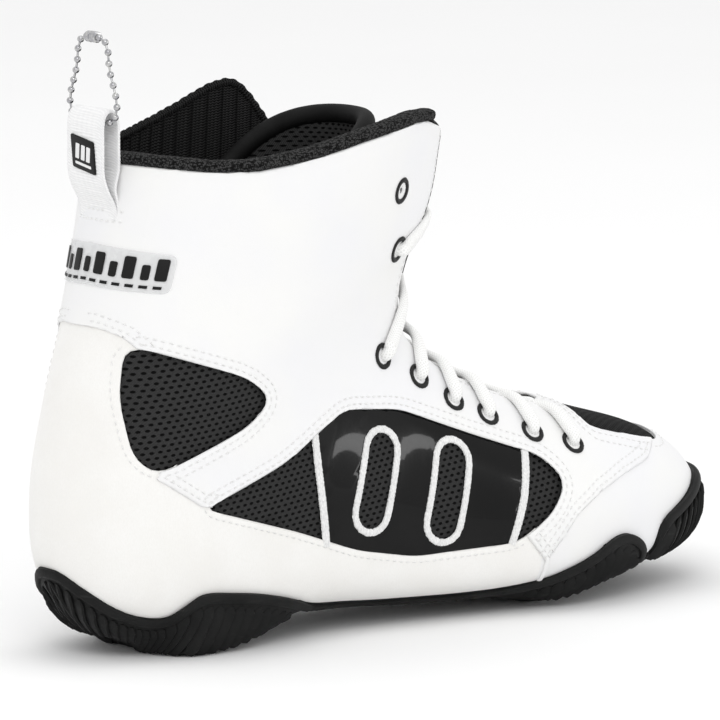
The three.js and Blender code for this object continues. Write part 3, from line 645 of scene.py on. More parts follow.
ANKLE = soften([(-19, 117), (23, 103), (34, 94), (24, 85), (-13, 70), (-21, 77), (-23, 97)], 7, 2)
MIDFOOT = soften([(5, 56), (40, 69), (70, 86), (98, 83), (132, 70), (160, 60), (169, 50), (161, 39),
                  (145, 29), (100, 28), (74, 33), (47, 43)], 6, 2)
TOE_VIEW = soften([(193, 104), (193, 66), (217, 59.5), (232, 56.5), (239, 57.5), (243, 62),
                   (243, 104)], 3, 2)
HEEL = [(-70, 123), (-24, 122.5), (-19, 119.5), (0, 95), (-13, 68.5), (4, 57), (60, 50), (146, 34),
        (157, 21), (155, -20), (-70, -20)]
TOE = [(229, 110), (228, 57), (217, 52), (201, 49), (186, 44), (173, 37), (159, 22), (157, -20), (300, -20),
       (300, 110)]
# the collar's edge on both sides, and the lining's edge where it stands higher
RIM_OUTER = [(-30, 182), (-9, 181), (10, 179), (25, 179), (45, 182), (70, 187), (90, 190), (100, 191),
             (110, 190.5), (117, 187), (121, 181), (124, 172), (127, 160), (170, 160)]
RIM_INNER = [(-30, 181), (-9, 180.5), (10, 180), (25, 181.5), (40, 184.5), (55, 189), (66, 193), (75, 195),
             (80, 194), (85, 189), (90, 181), (97, 168), (104, 152), (109, 134), (112, 120), (170, 120)]
LINING_RIM = [(-30, 182), (-9, 182.5), (10, 183), (25, 185), (40, 188.5), (52, 192.5), (62, 196.5),
              (70, 199.5), (76, 200.5), (80, 199.5), (84, 195), (89, 186), (97, 171), (104, 153),
              (109, 134), (112, 120), (170, 120)]
# the opening over the tongue, seen from above and seen from the front
THROAT_TOP = [(60, -19), (165, -19), (178, -16), (185, -9), (187, 0), (185, 9), (178, 16),
              (165, 19), (60, 19)]
THROAT_FRONT = [(-19, 100), (-19, 118), (-20, 140), (-25, 230), (25, 230), (20, 140), (19, 118), (19, 100)]
# the lace holes of each side, from the top one down
HOLES = {-1: [(95, 166), (98, 143), (93, 103), (112, 93), (127, 83), (142, 76), (161, 68), (179, 62)],
         1: [(80, 168), (91, 145), (93, 103), (112, 93), (127, 83), (142, 76), (161, 68), (179, 62)]}
# top edge of the sole
BAND = [(-70, 37), (-40, 36), (-35, 29), (-25, 20.5), (-14, 16), (-5, 15.5), (0, 21), (6, 25), (30, 22),
        (46, 18), (60, 13), (90, 11), (120, 10), (145, 10.5), (160, 13), (180, 20), (191, 26), (198, 27),
        (204, 24.5), (209, 20), (212, 14), (215, 14), (218, 26), (222, 30), (230, 33), (240, 37), (250, 42),
        (275, 46)]


def inside(outline, x, z):
    """Which of the points lie inside a closed outline."""
    hit = np.zeros(np.shape(x), bool)
    for (a, b), (c, d) in zip(outline, outline[1:] + outline[:1]):
        if b != d:
            hit ^= ((b > z) != (d > z)) & (x < (c - a) * (z - b) / (d - b) + a)
    return hit


def away(line, x, z):
    """Distance of points from a line of straight stretches."""
    best = np.full(np.shape(x), 1e9)
    for (a, b), (c, d) in zip(line, line[1:]):
        t = np.clip(((x - a) * (c - a) + (z - b) * (d - b)) / ((c - a) ** 2 + (d - b) ** 2), 0, 1)
        best = np.minimum(best, np.hypot(x - a - t * (c - a), z - b - t * (d - b)))
    return best


def score(bm, line, axis=1, closed=True, half=0, step=5.0):
    """Cuts a surface along a line seen down one axis; half keeps to the outer (-1) or the inner (1) side."""
    a, b = [k for k in range(3) if k != axis]
    cells = {}

    def keep(faces):
        for f in faces:
            c = f.calc_center_median()
            if half * c.y >= 0:
                cells.setdefault((int(c[a] // step), int(c[b] // step)), set()).add(f)
    keep(bm.faces)
    for p, q in zip(line, line[1:] + (line[:1] if closed else [])):
        lo = [int((min(p[k], q[k]) - 3.2) // step) for k in (0, 1)]
        hi = [int((max(p[k], q[k]) + 3.2) // step) for k in (0, 1)]
        near = set()
        for i in range(lo[0], hi[0] + 1):
            for j in range(lo[1], hi[1] + 1):
                near |= cells.get((i, j), set())
        if not near:
            continue
        near = [f for f in near if f.is_valid]
        co, no = Vector((0, 0, 0)), Vector((0, 0, 0))
        co[a], co[b] = p
        no[a], no[b] = q[1] - p[1], p[0] - q[0]
        made = bmesh.ops.bisect_plane(bm, geom=near + list({e for f in near for e in f.edges})
                                      + list({v for f in near for v in f.verts}),
                                      dist=.02, plane_co=co, plane_no=no.normalized())
        keep([g for g in made["geom"] if isinstance(g, bmesh.types.BMFace)])


def trim(bm, wanted):
    """Keeps the faces whose middle passes a test of x, y and z."""
    faces = list(bm.faces)
    middle = np.array([f.calc_center_median() for f in faces])
    fits = wanted(middle[:, 0], middle[:, 1], middle[:, 2])
    bmesh.ops.delete(bm, geom=[f for f, ok in zip(faces, fits) if not ok], context="FACES")
    bmesh.ops.dissolve_degenerate(bm, dist=.03, edges=bm.edges)
    bm.normal_update()


def edge_down(bm, drop):
    """Turns the cut edges of a panel down by a distance."""
    rim = [v for v in bm.verts if v.is_boundary]
    for v, n in [(v, v.normal.copy()) for v in rim]:
        v.co -= n * drop


def lift(bm, depth):
    for v, n in [(v, v.normal.copy()) for v in bm.verts]:
        v.co += n * depth


def soft_waves(bm, amount, size):
    """Slow unevenness of leather drawn over a last."""
    for v, n in [(v, v.normal.copy()) for v in bm.verts]:
        v.co += n * amount * noise.noise(v.co / size)


# ---- the shared skin and ways to find points on it -----------------------
base = sock(2.6)
soft_waves(base, .35, 34)
base.normal_update()
tree = BVHTree.FromBMesh(base)


def met(surface, origin, way):
    """Where a ray meets a surface, with the normal that faces the ray, or None."""
    point, normal, _, _ = surface.ray_cast(Vector(origin), Vector(way))
    return (point, normal if normal.dot(Vector(way)) < 0 else -normal) if point else None


def strike(x, z, half):
    """Point and outward normal where the skin shows at x z from one side."""
    return met(tree, (x, half * 150, z), (0, -half, 0))


def strike_down(x, y):
    return met(tree, (x, y, 300), (0, 0, -1))


def strike_front(y, z):
    return met(tree, (400, y, z), (-1, 0, 0))


def strike_back(y, z):
    return met(tree, (-200, y, z), (1, 0, 0))


def height_of(line, x):
    return np.interp(x, *zip(*line))


def under_rim(x, y, z):
    return z < np.where(y < 0, height_of(RIM_OUTER, x), height_of(RIM_INNER, x))


def in_throat(x, y, z):
    over = inside(THROAT_TOP, x, y) & (z > 60) & (z < 140)
    return over | (inside(THROAT_FRONT, y, z) & (x > 85) & (x < 170))


def score_opening(bm):
    """Cuts the collar line and the throat, and a second line beside each for the turned edge."""
    for d in (0, EDGE):
        for half, rim in ((-1, RIM_OUTER), (1, RIM_INNER)):
            score(bm, [(x, z - d) for x, z in rim], 1, False, half)
        score(bm, grow(THROAT_TOP, d), 2)
        score(bm, grow(THROAT_FRONT, d), 0)


# ---- upper panels --------------------------------------------------------
EDGE = .9              # width of the turned edge of a panel
EDGE_DROP = .45        # how far it turns down
QUARTER_UP = .9        # the quarter lies on top of the other panels
HOLE_CUT = 1.0         # radius of a lace hole in the leather


def with_edge(*lines):
    """Each outline, and after it the line where its turned edge starts."""
    return [made for line in lines for made in (line, grow(line, EDGE))]


quarter = base.copy()
for line in with_edge(HEEL, TOE, ANKLE, MIDFOOT, TOE_VIEW):
    score(quarter, line)
score_opening(quarter)
for half, row in HOLES.items():
    for x, z in row:
        score(quarter, [(x + HOLE_CUT * math.cos(k / 4 * PI), z + HOLE_CUT * math.sin(k / 4 * PI))
                        for k in range(8)], half=half)
WINDOWS = (ANKLE, MIDFOOT, TOE_VIEW)


def on_quarter(x, y, z):
    fits = ~inside(HEEL, x, z) & ~inside(TOE, x, z) & under_rim(x, y, z) & ~in_throat(x, y, z)
    for window in WINDOWS:
        fits &= ~inside(window, x, z)
    for half, row in HOLES.items():
        for a, b in row:
            fits &= ~((np.hypot(x - a, z - b) < HOLE_CUT * .95) & (y * half > 0))
    return fits


trim(quarter, on_quarter)


FLARE = 5.5            # how far the front edge of the outer side springs forward


def flare(p):
    return FLARE * float(ease(p.z, 122, 168) * (1 - ease(-p.y, 24, 38))) * (p.y < 0 and p.x > 70)


def spring(bm):
    for v in bm.verts:
        v.co.x += flare(v.co)


lift(quarter, QUARTER_UP)
spring(quarter)
edge_down(quarter, EDGE_DROP)
piece("quarter_leather", quarter, "leather", wall=1.2, replaces=["quarter_panel"])

UNDER = 5.0            # how far the lower panels run on under the quarter
LEATHER = 1.3
HEEL_FRONT = 156       # the heel panel ends here, under the toe panel's end
heel = base.copy()
heel_line = grow(HEEL, UNDER)
for line in (heel_line, *with_edge(ANKLE, MIDFOOT), [(HEEL_FRONT, -30), (HEEL_FRONT, 60)]):
    score(heel, line, closed=len(line) > 2)
trim(heel, lambda x, y, z: inside(heel_line, x, z) & (x < HEEL_FRONT) & ~inside(ANKLE, x, z)
     & ~inside(MIDFOOT, x, z))
edge_down(heel, EDGE_DROP)
piece("heel_nap_leather", heel, "nap", wall=LEATHER, replaces=["heel_overlay"])

toe = base.copy()
toe_line = grow(TOE, UNDER)
for line in (toe_line, *with_edge(TOE_VIEW)):
    score(toe, line)
trim(toe, lambda x, y, z: inside(toe_line, x, z) & ~inside(TOE_VIEW, x, z))
edge_down(toe, EDGE_DROP)
piece("toe_cap_leather", toe, "toe_leather", wall=LEATHER, replaces=["toe_cap"])


# ---- mesh behind the windows ---------------------------------------------
def window_mesh(name, outline, half, depth, finish, node, puff, step):
    """Mesh behind a window: a little proud in the middle, where nothing holds it down."""
    bm = base.copy()
    wide = grow(outline, 3.5)
    score(bm, wide, half=half)
    trim(bm, lambda x, y, z: inside(wide, x, z) & ((y * half > 0) if half else (z > 40)))
    if half == 0:
        trim(bm, lambda x, y, z: ~inside(THROAT_TOP, x, y))
    bm.normal_update()
    where = np.array([v.co for v in bm.verts])
    reach = away(outline + outline[:1], where[:, 0], where[:, 2]) * inside(outline, where[:, 0], where[:, 2])
    for v, n, d in zip(bm.verts, [v.normal.copy() for v in bm.verts], reach):
        v.co += n * (depth + puff * min(1, d / step) ** .7)
    return piece(name, bm, finish, wall=.8, replaces=[node])


for half, word in SIDES:
    window_mesh(f"ankle_window_{word}", ANKLE, half, -1.3, "side_mesh", f"ankle_mesh_{word}", .8, 14)
    window_mesh(f"midfoot_window_{word}", MIDFOOT, half, -1.5, "side_mesh", f"midfoot_mesh_{word}", .5, 12)
window_mesh("toe_window", TOE_VIEW, 0, -1.3, "toe_mesh", "vamp_mesh", .8, 8)

# ---- patent panel with its vents and satin-stitched lines ----------------
PATENT = [(54, 100), (61, 20), (138, 20), (149, 48), (157, 70), (157, 100)]


def pill(x, z, lean=.3, half=12, r=7.5, steps=8):
    out = []
    for end in (1, -1):
        for k in range(steps + 1):
            a = (0 if end > 0 else PI) + k / steps * PI
            px, pz = r * math.cos(a), end * half + r * math.sin(a)
            out.append((x + px * math.cos(lean) + pz * math.sin(lean),
                        z - px * math.sin(lean) + pz * math.cos(lean)))
    return out


vents = [pill(84, 58), pill(116, 51)]
patent_line = grow(MIDFOOT, 2.5)
SATIN_UP = -.3         # the satin rows sit on the patent panel, which lies below the quarter


def satin(line, half, wide=3.3, closed=False):
    """A raised row of close white stitches laid across a line, with slightly uneven ends."""
    path = even([(x, z, 0) for x, z in line], .32, closed)
    struck = [strike(p.x, p.y, half) for p in path]
    points = [p + n * SATIN_UP for p, n in struck]
    across = []
    last = len(points) - 1
    for i, (_, n) in enumerate(struck):
        before, after = (i - 1, (i + 1) % len(points)) if closed else (max(i - 1, 0), min(i + 1, last))
        across.append((points[after] - points[before]).cross(n))
    return swept(points, across, [wide / 2 + chance.uniform(-.16, .16) for _ in points],
                 [.62 + .13 * (i % 2) + chance.uniform(-.05, .05) for i in range(len(points))],
                 10, closed, .8)


def join(pieces):
    """One shape from several."""
    whole = bmesh.new()
    for bm in pieces:
        mesh = bpy.data.meshes.new("part")
        bm.to_mesh(mesh)
        bm.free()
        whole.from_mesh(mesh)
        bpy.data.meshes.remove(mesh)
    return whole


for half, word in SIDES:
    gloss = base.copy()
    for line in (patent_line, PATENT, grow(PATENT, -.8), *vents, *[grow(v, .8) for v in vents]):
        score(gloss, line, half=half)
    trim(gloss, lambda x, y, z: inside(patent_line, x, z) & inside(PATENT, x, z) & (y * half > 0)
         & ~inside(vents[0], x, z) & ~inside(vents[1], x, z))
    lift(gloss, -.45)
    edge_down(gloss, .3)
    piece(f"patent_{word}", gloss, "patent", wall=.6, replaces=[f"patent_panel_{word}"])
    rows = [satin(line, half) for line in ([(55.8, 80), (58, 58), (59.8, 36)],
                                           [(154.3, 62.5), (149, 46), (142, 28.5)])]
    rows += [satin(v, half, 2.8, True) for v in vents]
    piece(f"satin_stitching_{word}", join(rows), "satin_thread")


# ---- sewing --------------------------------------------------------------
PITCH = 3.0            # from stitch to stitch
ON_QUARTER, ON_PANEL = .95, .05
CLEAR = 1.6            # stitches keep this far from other edges


def sew(bm, marks, long=2.2, wide=.62, high=.42):
    """Adds a stitch at each mark, which is a point, a surface normal and a direction."""
    for p, n, t in marks:
        t = (t - n * t.dot(n)).normalized()
        b = n.cross(t)
        place = Matrix((*zip(t * long / 2, b * wide / 2, n * high, p), (0, 0, 0, 1)))
        bmesh.ops.create_icosphere(bm, subdivisions=1, radius=1, matrix=place)


def marks_from(found, depth, pitch, fits):
    """Stitch marks every pitch along struck points, where a test of x y z lets them be."""
    found = [f for f in found if f]
    if len(found) < 3:
        return []
    p = np.array([f[0] for f in found])
    n = np.array([f[1] for f in found])
    run = run_along(p)
    at = np.arange(pitch / 2, run[-1], pitch)
    pick = [np.stack([np.interp(at + d, run, a[:, k]) for k in range(3)], 1)
            for a, d in ((p, 0), (n, 0), (p, .4), (p, -.4))]
    ok = fits(pick[0][:, 0], pick[0][:, 1], pick[0][:, 2])
    return [(Vector(a) + Vector(b).normalized() * depth, Vector(b).normalized(), Vector(c) - Vector(d))
            for a, b, c, d, good in zip(*pick, ok) if good and np.linalg.norm(c - d) < 2]


def side_row(line, half, depth, fits, closed=False):
    path = even([(x, z, 0) for x, z in line], 1.0, closed)
    return marks_from([strike(p.x, p.y, half) for p in path], depth, PITCH,
                      lambda x, y, z: fits(x, y, z) & (y * half > 0))


def clear_of(lines):
    """A test that keeps stitches a little away from other edges."""
    def fits(x, y, z):
        ok = on_quarter(x, y, z)
        for line in lines:
            ok &= away(line + line[:1], x, z) > CLEAR
        return ok
    return fits


for half, word in SIDES:
    seams = bmesh.new()
    quarter_only = clear_of(WINDOWS)
    for d in (2.0, 4.6):
        for line in (HEEL, TOE):
            sew(seams, side_row(grow(line, d), half, ON_QUARTER, quarter_only))
        for window in WINDOWS:
            sew(seams, side_row(soften(grow(window, d), 2), half, ON_QUARTER, clear_of((HEEL, TOE)), True))
    plain_heel = (lambda x, y, z: inside(grow(HEEL, -1.5), x, z) & ~inside(grow(MIDFOOT, 1.5), x, z)
                  & ~inside(grow(ANKLE, 1.5), x, z))
    for window in (ANKLE, MIDFOOT):
        sew(seams, side_row(soften(grow(window, 2.4), 2), half, ON_PANEL, plain_heel, True))
    sew(seams, side_row(grow(TOE_VIEW, 2.4), half, ON_PANEL, lambda x, y, z: inside(grow(TOE, -1.5), x, z)
                        & ~inside(grow(TOE_VIEW, 1.5), x, z)))
    throat_side = [(96, 21.6), (165, 21.6), (178.5, 18.6), (186, 12.1), (189.5, 3.6)]
    found = [strike_down(p.x, p.y) for p in even([(x, half * y, 0) for x, y in throat_side], 1.0)]
    sew(seams, marks_from([f for f in found if f and f[0].z < 112], ON_QUARTER, PITCH, on_quarter))
    throat_front = [(half * 21.6, 112, 0), (half * 22.4, 140, 0), (half * 26.5, 196, 0)]
    found = [strike_front(p.x, p.y) for p in even(throat_front, 1.0)]
    sew(seams, marks_from(found, ON_QUARTER, PITCH, on_quarter))
    spring(seams)
    piece(f"seams_{word}", seams, "white_thread")


# ---- sole ----------------------------------------------------------------
# how much thicker the sole is under the foot, along its length
DROP = [(-45, 11), (-20, 12), (5, 10), (28, 8), (48, 4), (64, 1), (84, 0), (100, 3), (116, 6), (166, 6),
        (184, 2.5), (206, 0)]
TOOTH, LEAN = 4.4, .30              # pitch of the side teeth, and their slant
body_below = soften(BAND + [(275, -30), (-70, -30)], 7, 3)
band_line = [p for p in body_below if p[1] > -5]
band_x, band_z = zip(*sorted(band_line))
sole = sock(2.2, .80)
score(sole, body_below)
for d in (1.2, 4.2):
    score(sole, grow(body_below, -d))
trim(sole, lambda x, y, z: inside(body_below, x, z))
sole.normal_update()
where = np.array([v.co for v in sole.verts])
from_top = away(band_line, where[:, 0], where[:, 2])
for v, n, t in zip(sole.verts, [v.normal.copy() for v in sole.verts], from_top):
    under = ease(-n.z, .35, .80) * min(1.0, max(0.0, (t - 1.5) / 7))
    n.z = max(n.z, min(0.0, n.z + max(0.0, 1 - t / 9)))
    v.co += n.normalized() * float(np.interp(t, [0, 1.2, 4.2], [.2, 1.5, 1.7]))
    v.co.z = max(0.0, v.co.z - under * float(height_of(DROP, v.co.x)))
sole.normal_update()
shell = BVHTree.FromBMesh(sole)
HEEL_END, TOE_END = 0, 222          # where the sides of the sole start to run round its ends
HEEL_ROUND, TOE_ROUND = 39, 35      # length of run for each radian there


def round_sole(half, run, z, surface):
    """Where a surface is met at a height and a distance along the sole's side, round heel and toe too."""
    angle, middle = PI / 2, Vector((min(max(run, HEEL_END), TOE_END), 0, z))
    if run < HEEL_END:
        angle += (HEEL_END - run) / HEEL_ROUND
    elif run > TOE_END:
        angle -= (run - TOE_END) / TOE_ROUND
    out = Vector((math.cos(angle), half * math.sin(angle), 0))
    return met(surface, middle + out * 120, -out)


def band_at(half, run):
    """Height of the sole's top edge at a distance along the side."""
    z = 24.0
    for _ in range(6):
        found = round_sole(half, run, z, tree)
        if not found:
            return None
        z = float(np.interp(found[0].x, band_x, band_z))
    return z


teeth = []
for half in (-1, 1):
    rim_line, rim_up = [], []
    for run in np.arange(HEEL_END - 62, TOE_END + 56.5, 1.3):
        top = band_at(half, run)
        found = top and round_sole(half, run, top - 1.9, shell)
        if found:
            rim_line.append(found[0] + found[1] * .1)
            rim_up.append(Vector((0, 0, 1)) - found[1] * found[1].z)
    teeth.append(swept(relax(rim_line, 2), rim_up, 1.9, 1.25, 14, power=.75))
    for run in np.arange(HEEL_END - 60, TOE_END + (62 if half < 0 else 53), TOOTH):
        if 58 < run < 100:
            continue
        top = band_at(half, run)
        if not top:
            continue
        line, tilt = [], []
        for z in np.arange(top - 4.9, -1.2, -1.0):
            found = round_sole(half, run - LEAN * (top - z), max(z, .35), shell)
            if not found or (found[1].z < -.9 and len(line) > 2):
                break
            line.append(found[0])
            tilt.append(found[1])
        if len(line) < 4:
            continue
        across = []
        for k, (p, n) in enumerate(zip(line, tilt)):
            t = (line[min(k + 1, len(line) - 1)] - line[max(k - 1, 0)]).normalized()
            w = t.cross(n).normalized()
            facing = w.x if -30 < run < 230 else w.x * (-half * w.y or 1)
            across.append(((w if facing > 0 else -w) + n * .34).normalized())
        size = [min(1.0, .35 + k * .35) for k in range(len(line))]
        teeth.append(swept(line, across, [TOOTH * .53 * e for e in size], size, 8, power=.45))
moulding = join(teeth)
for v in moulding.verts:
    v.co.z = max(v.co.z, .05)
piece("sole_shell", sole, "rubber", wall=2.2, sharp=35, replaces=["outsole"])
piece("sole_moulding", moulding, "rubber", sharp=35)

# ---- lining and collar ---------------------------------------------------
def lining_place(a, b):
    phi = a * 2 * PI - PI
    rib = np.abs(np.cos(a * RIBS * PI)) ** .6
    return off_skin(share_to_u(.70 + b * .30), phi, -6.1 + 1.0 * rib)


lining = lattice(RIBS * 6, 60, lining_place, (SHAFT_ROUND, SKIN_LONG * .3))
bmesh.ops.remove_doubles(lining, verts=lining.verts, dist=.02)
lining.normal_update()
score(lining, [(x, z + .6) for x, z in RIM_OUTER], 1, False, -1)
score(lining, LINING_RIM, 1, False, 1)
score(lining, THROAT_FRONT, 0)
trim(lining, lambda x, y, z: (z > 97) & ~in_throat(x, y, z)
     & (z < np.where(y < 0, height_of(RIM_OUTER, x) + .6, height_of(LINING_RIM, x))))
for v in lining.verts:
    v.co.x += flare(v.co - Vector((0, 4.5, 0)))
lining_piece = piece("collar_lining", lining, "knit", wall=2.2, sharp=60, replaces=["lining_collar"])
lining_piece.modifiers["wall"].offset = 1

rolled, us = [], np.linspace(.7, 1, 500)
for phi in np.linspace(PI - .02, .8, 60):
    line = off_skin(us, phi, -4.7)
    rolled.append(Vector(line[np.argmax(line[:, 2] > height_of(LINING_RIM, line[:, 0]))]))
rolled = relax(smooth_line(rolled, 1.0), 3)
knots = [.3 * (k % 4 < 2) for k in range(len(rolled))]
edge_roll = swept(rolled, [Vector((0, 1, 0))], [1.5 + k for k in knots], [1.4 + k for k in knots], 14)
piece("lining_edge", edge_roll, "knit", sharp=60)


def rim_path():
    """Middle line of the collar's edge, from the outer front round the back to the inner front."""
    points, wide, us = [], [], np.linspace(.8, 1, 300)
    for rim, half, first in ((RIM_OUTER, -1, .66), (RIM_INNER, 1, 1.38)):
        part = []
        for k in range(34):
            phi = half * (first + k / 33 * (PI - first))
            inset = 2.3 if half < 0 else 2.3 - 2.2 * min(1, (PI - abs(phi)) / .5)
            line = skin(us, phi)
            u = us[np.argmax(line[:, 2] > height_of(rim, line[:, 0]))]
            n = Vector(skin_normal(u, phi)[0])
            n.z = 0
            n.normalize()
            p = Vector(skin(u, phi)[0]) - n * inset
            p.x += flare(p)
            p.z = max(height_of(rim, q.x) for q in (p + n * 2.6, p, p - n * 3.6)) + 1.9 - (2.3 - inset) * .8
            part.append((p, n))
        part = part if half < 0 else part[::-1][1:]
        points += [p for p, _ in part]
        wide += [n for _, n in part]
    return points, wide


rim_points, rim_wide = rim_path()
fine = smooth_line(rim_points, .8)
ends = tapered(len(fine), .4)
binding = swept(fine, nearest(fine, rim_points, rim_wide),
                [4.0 * e + chance.uniform(-.06, .06) for e in ends],
                [2.35 * e + chance.uniform(-.12, .12) for e in ends], 20, False, .75)
edge_points = [f[0] + f[1] * .35 + Vector((flare(f[0]), .4, 0)) for f in
               (strike_front(-20 - (z - 140) / 18, z) for z in np.linspace(132, 183, 46))]
edge_points.append(edge_points[-1].lerp(rim_points[0], .35) + Vector((.6, 0, .8)))
edge_points.append(rim_points[0] + Vector((0, 1.5, 0)))
front_edge = swept(smooth_line(edge_points, 1.0), [Vector((0, 1, 0))], 1.0, 1.15, 10)
binding = join([binding, front_edge])
piece("collar_tape", binding, "tape", sharp=60, replaces=["collar_binding"])

# ---- what lies inside the foot -------------------------------------------
for finish, nodes in (("foot_lining", ("lining_foot", "sockliner")),
                      ("board", ("lasting_board", "heel_counter", "toe_puff"))):
    for node in nodes:
        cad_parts[node].data.materials.clear()
        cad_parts[node].data.materials.append(finishes[finish])

# ---- tongue --------------------------------------------------------------
# depths off the skin: the lace below and above the quarter, the lining's inner face, the tongue's outer face
LACE_UNDER, LACE_OVER, LINING_IN, TONGUE_TOP = -7.15, 2.45, -5.5, -8.8
TONGUE_FROM, TONGUE_TO = .17, .915          # shares of the skin's length
TONGUE_LEAN = 16                            # how far the free end leans back


def tongue_point(along, v, depth):
    """A point of the tongue: share along it, share across from -1 to 1, and depth below its outer face."""
    u = TONGUE_FROM + (TONGUE_TO - .05 * v ** 4 - TONGUE_FROM) * along
    spread = .72 + .60 * ease(u, .35, .9)
    first = LINING_IN - .8
    top = first + (TONGUE_TOP - first) * ease(u, .18, .22) - 1.8 * v * v * ease(u, .6, .8)
    points = off_skin(u, v * spread, top - depth)
    points[:, 0] -= TONGUE_LEAN * ease(u, .73, .93)
    return points


def tongue_place(a, b):
    """Outer face over the first half of a, inner face back over the second."""
    v = np.where(a < .5, a * 4 - 1, 3 - a * 4)
    full = np.sqrt(np.clip(1 - np.abs(v) ** 7, 0, 1)) * np.sqrt(np.clip(1 - np.abs(b * 2 - 1) ** 24, 0, 1))
    puff = full * (2.0 + .9 * np.cos(v * PI / 2) * ease(b, .25, .55))
    return tongue_point(b, v, 2.0 - np.where(a < .5, puff, -full * 2.0))


tongue = lattice(96, 150, tongue_place, (110, 300))
bmesh.ops.remove_doubles(tongue, verts=tongue.verts, dist=.02)
tongue_piece = piece("tongue_pad", tongue, "tongue_mesh", sharp=70, ridden=False,
                     replaces=["tongue_lower", "tongue_upper"])
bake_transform(tongue_piece)

sides = [(.86 + .14 * k / 4, -1) for k in range(4)] + [(1, -1 + k / 8) for k in range(17)] + \
        [(1 - .14 * k / 4, 1) for k in range(1, 5)]
roll_line, roll_out = ([Vector(tongue_point(a, np.array([v * .985]), depth)[0]) for a, v in sides]
                       for depth in (2.0, 0.0))
roll_wide = [out - p for out, p in zip(roll_out, roll_line)]
roll_points = smooth_line(roll_line, 1.2)
ends = tapered(len(roll_points), .35)
roll = swept(roll_points, nearest(roll_points, roll_line, roll_wide), [3.5 * e for e in ends],
             [3.6 * e for e in ends], 20)
piece("tongue_roll", roll, "roll", body="tongue_tip", sharp=60, replaces=["tongue_piping"])


# ---- lace rings and lace -------------------------------------------------
RING_THREADS = 84


class Hole:
    def __init__(self, x, z, half):
        self.point, self.normal = strike(x, z, half)
        us, phis = np.meshgrid(np.arange(0, 1, .004), np.arange(.02, PI, .02) * half)
        grid = skin(us.ravel(), phis.ravel())
        k = np.argmin((grid[:, 0] - x) ** 2 + (grid[:, 2] - z) ** 2)
        self.u, self.phi = float(us.ravel()[k]), float(phis.ravel()[k])
        self.along = (spot(self.u + .02, self.phi, 0) - spot(self.u - .02, self.phi, 0)).normalized()
        inward = spot(self.u, self.phi * .85, 0) - spot(self.u, self.phi, 0)
        self.inward = (inward - self.normal * inward.dot(self.normal)).normalized()

    def at(self, depth):
        return self.point + self.normal * depth


holes = {half: [Hole(x, z, half) for x, z in row] for half, row in HOLES.items()}


def ring_of(hole):
    """Buttonhole stitching round a hole: close threads laid from the rim to the hole."""
    side, up = hole.along.cross(hole.normal), hole.along
    path, across = [], []
    for k in range(RING_THREADS):
        a = k / RING_THREADS * 2 * PI
        p = hole.point + side * math.cos(a) * 3.9 + up * math.sin(a) * 4.15
        near, n, _, _ = tree.find_nearest(p)
        path.append(near + (n if n.dot(hole.normal) > 0 else -n) * 1.05)
        across.append(side * math.cos(a) + up * math.sin(a))
    return swept(path, across, [.92 + .1 * (k % 2) + chance.uniform(-.08, .08) for k in range(RING_THREADS)],
                 [.5 + .1 * (k % 2) for k in range(RING_THREADS)], 8, True)


rings = join([ring_of(h) for row in holes.values() for h in row])
spring(rings)
piece("eyelet_stitching", rings, "black_thread", sharp=60,
      replaces=[f"eyelet_{word}_{k}" for _, word in SIDES for k in range(1, 9)])

lace = []        # point, direction of the width, half width, half thickness
FLAT, UNDER_FLAT, ROUND = (3.1, 1.75), (2.9, .95), (2.3, 1.6)       # half widths and half thicknesses


def through(hole, outward):
    """The lace through a hole: depth, how far it lies towards the tongue, and its half sizes."""
    stops = [(LACE_UNDER, 1.6, UNDER_FLAT), (LACE_UNDER + .9, .25, (2.3, 1.2)), (LINING_IN + .6, 0, ROUND),
             (-.2, 0, ROUND), (LACE_OVER - .6, .15, ROUND), (LACE_OVER + .45, 1.9, (2.7, 1.75)),
             (LACE_OVER + .3, 4.8, (3.1, 1.8))]
    for depth, inward, size in stops if outward else stops[::-1]:
        lace.append((hole.at(depth) + hole.inward * inward, hole.along, *size))


def crossing(a, b, above):
    """Across the tongue, from the top of one hole to the underside of the next."""
    made = []
    for t, depth in ((.2, LACE_OVER + .1), (.3, -.2), (.42, -3.2 + above), (.54, -4.4 + above),
                     (.67, LACE_UNDER + .5), (.78, LACE_UNDER), (.9, LACE_UNDER)):
        u, phi = a.u + (b.u - a.u) * float(ease(t, .12, .88)), a.phi + (b.phi - a.phi) * t
        run = spot(b.u, b.phi, 0) - spot(a.u, a.phi, 0)
        made.append((spot(u, phi, depth), Vector(skin_normal(u, phi)[0]).cross(run).normalized(),
                     *(FLAT if t < .6 else UNDER_FLAT)))
    return made


def tail(hole, starts):
    """Loose end: over the edge of the quarter, then tucked up behind it."""
    stops = [(.62, LACE_OVER, .002), (.5, LACE_OVER - .8, .004), (.40, -1.6, .008),
             (.39, LACE_UNDER + 1, .014), (.48, LACE_UNDER, .018), (.64, LACE_UNDER, .02),
             (.84, LACE_UNDER, .02), (1.02, LACE_UNDER, .018)]
    for t, depth, du in stops[::-1] if starts else stops:
        lace.append((spot(hole.u + du, hole.phi * t, depth), hole.along, 2.7, 1.4 if depth > 0 else .95))


down = [holes[-1 if k % 2 else 1][k] for k in range(1, 8)]
up = [holes[1 if k % 2 else -1][k] for k in range(1, 8)][::-1]
tail(down[0], True)
for n, hole in enumerate(down):
    through(hole, False)
    if n < 6:
        lace += crossing(down[n + 1], hole, 1 if n % 2 else -1)[::-1]
for t in (.14, .24, .34, .45, .55, .66, .76, .86):
    phi = down[-1].phi + (up[0].phi - down[-1].phi) * t
    lace.append((spot(down[-1].u, phi, LACE_UNDER), down[-1].along, *UNDER_FLAT))
for n, hole in enumerate(up):
    through(hole, True)
    if n < 6:
        lace += crossing(hole, up[n + 1], 1 if n % 2 else -1)
tail(up[-1], False)

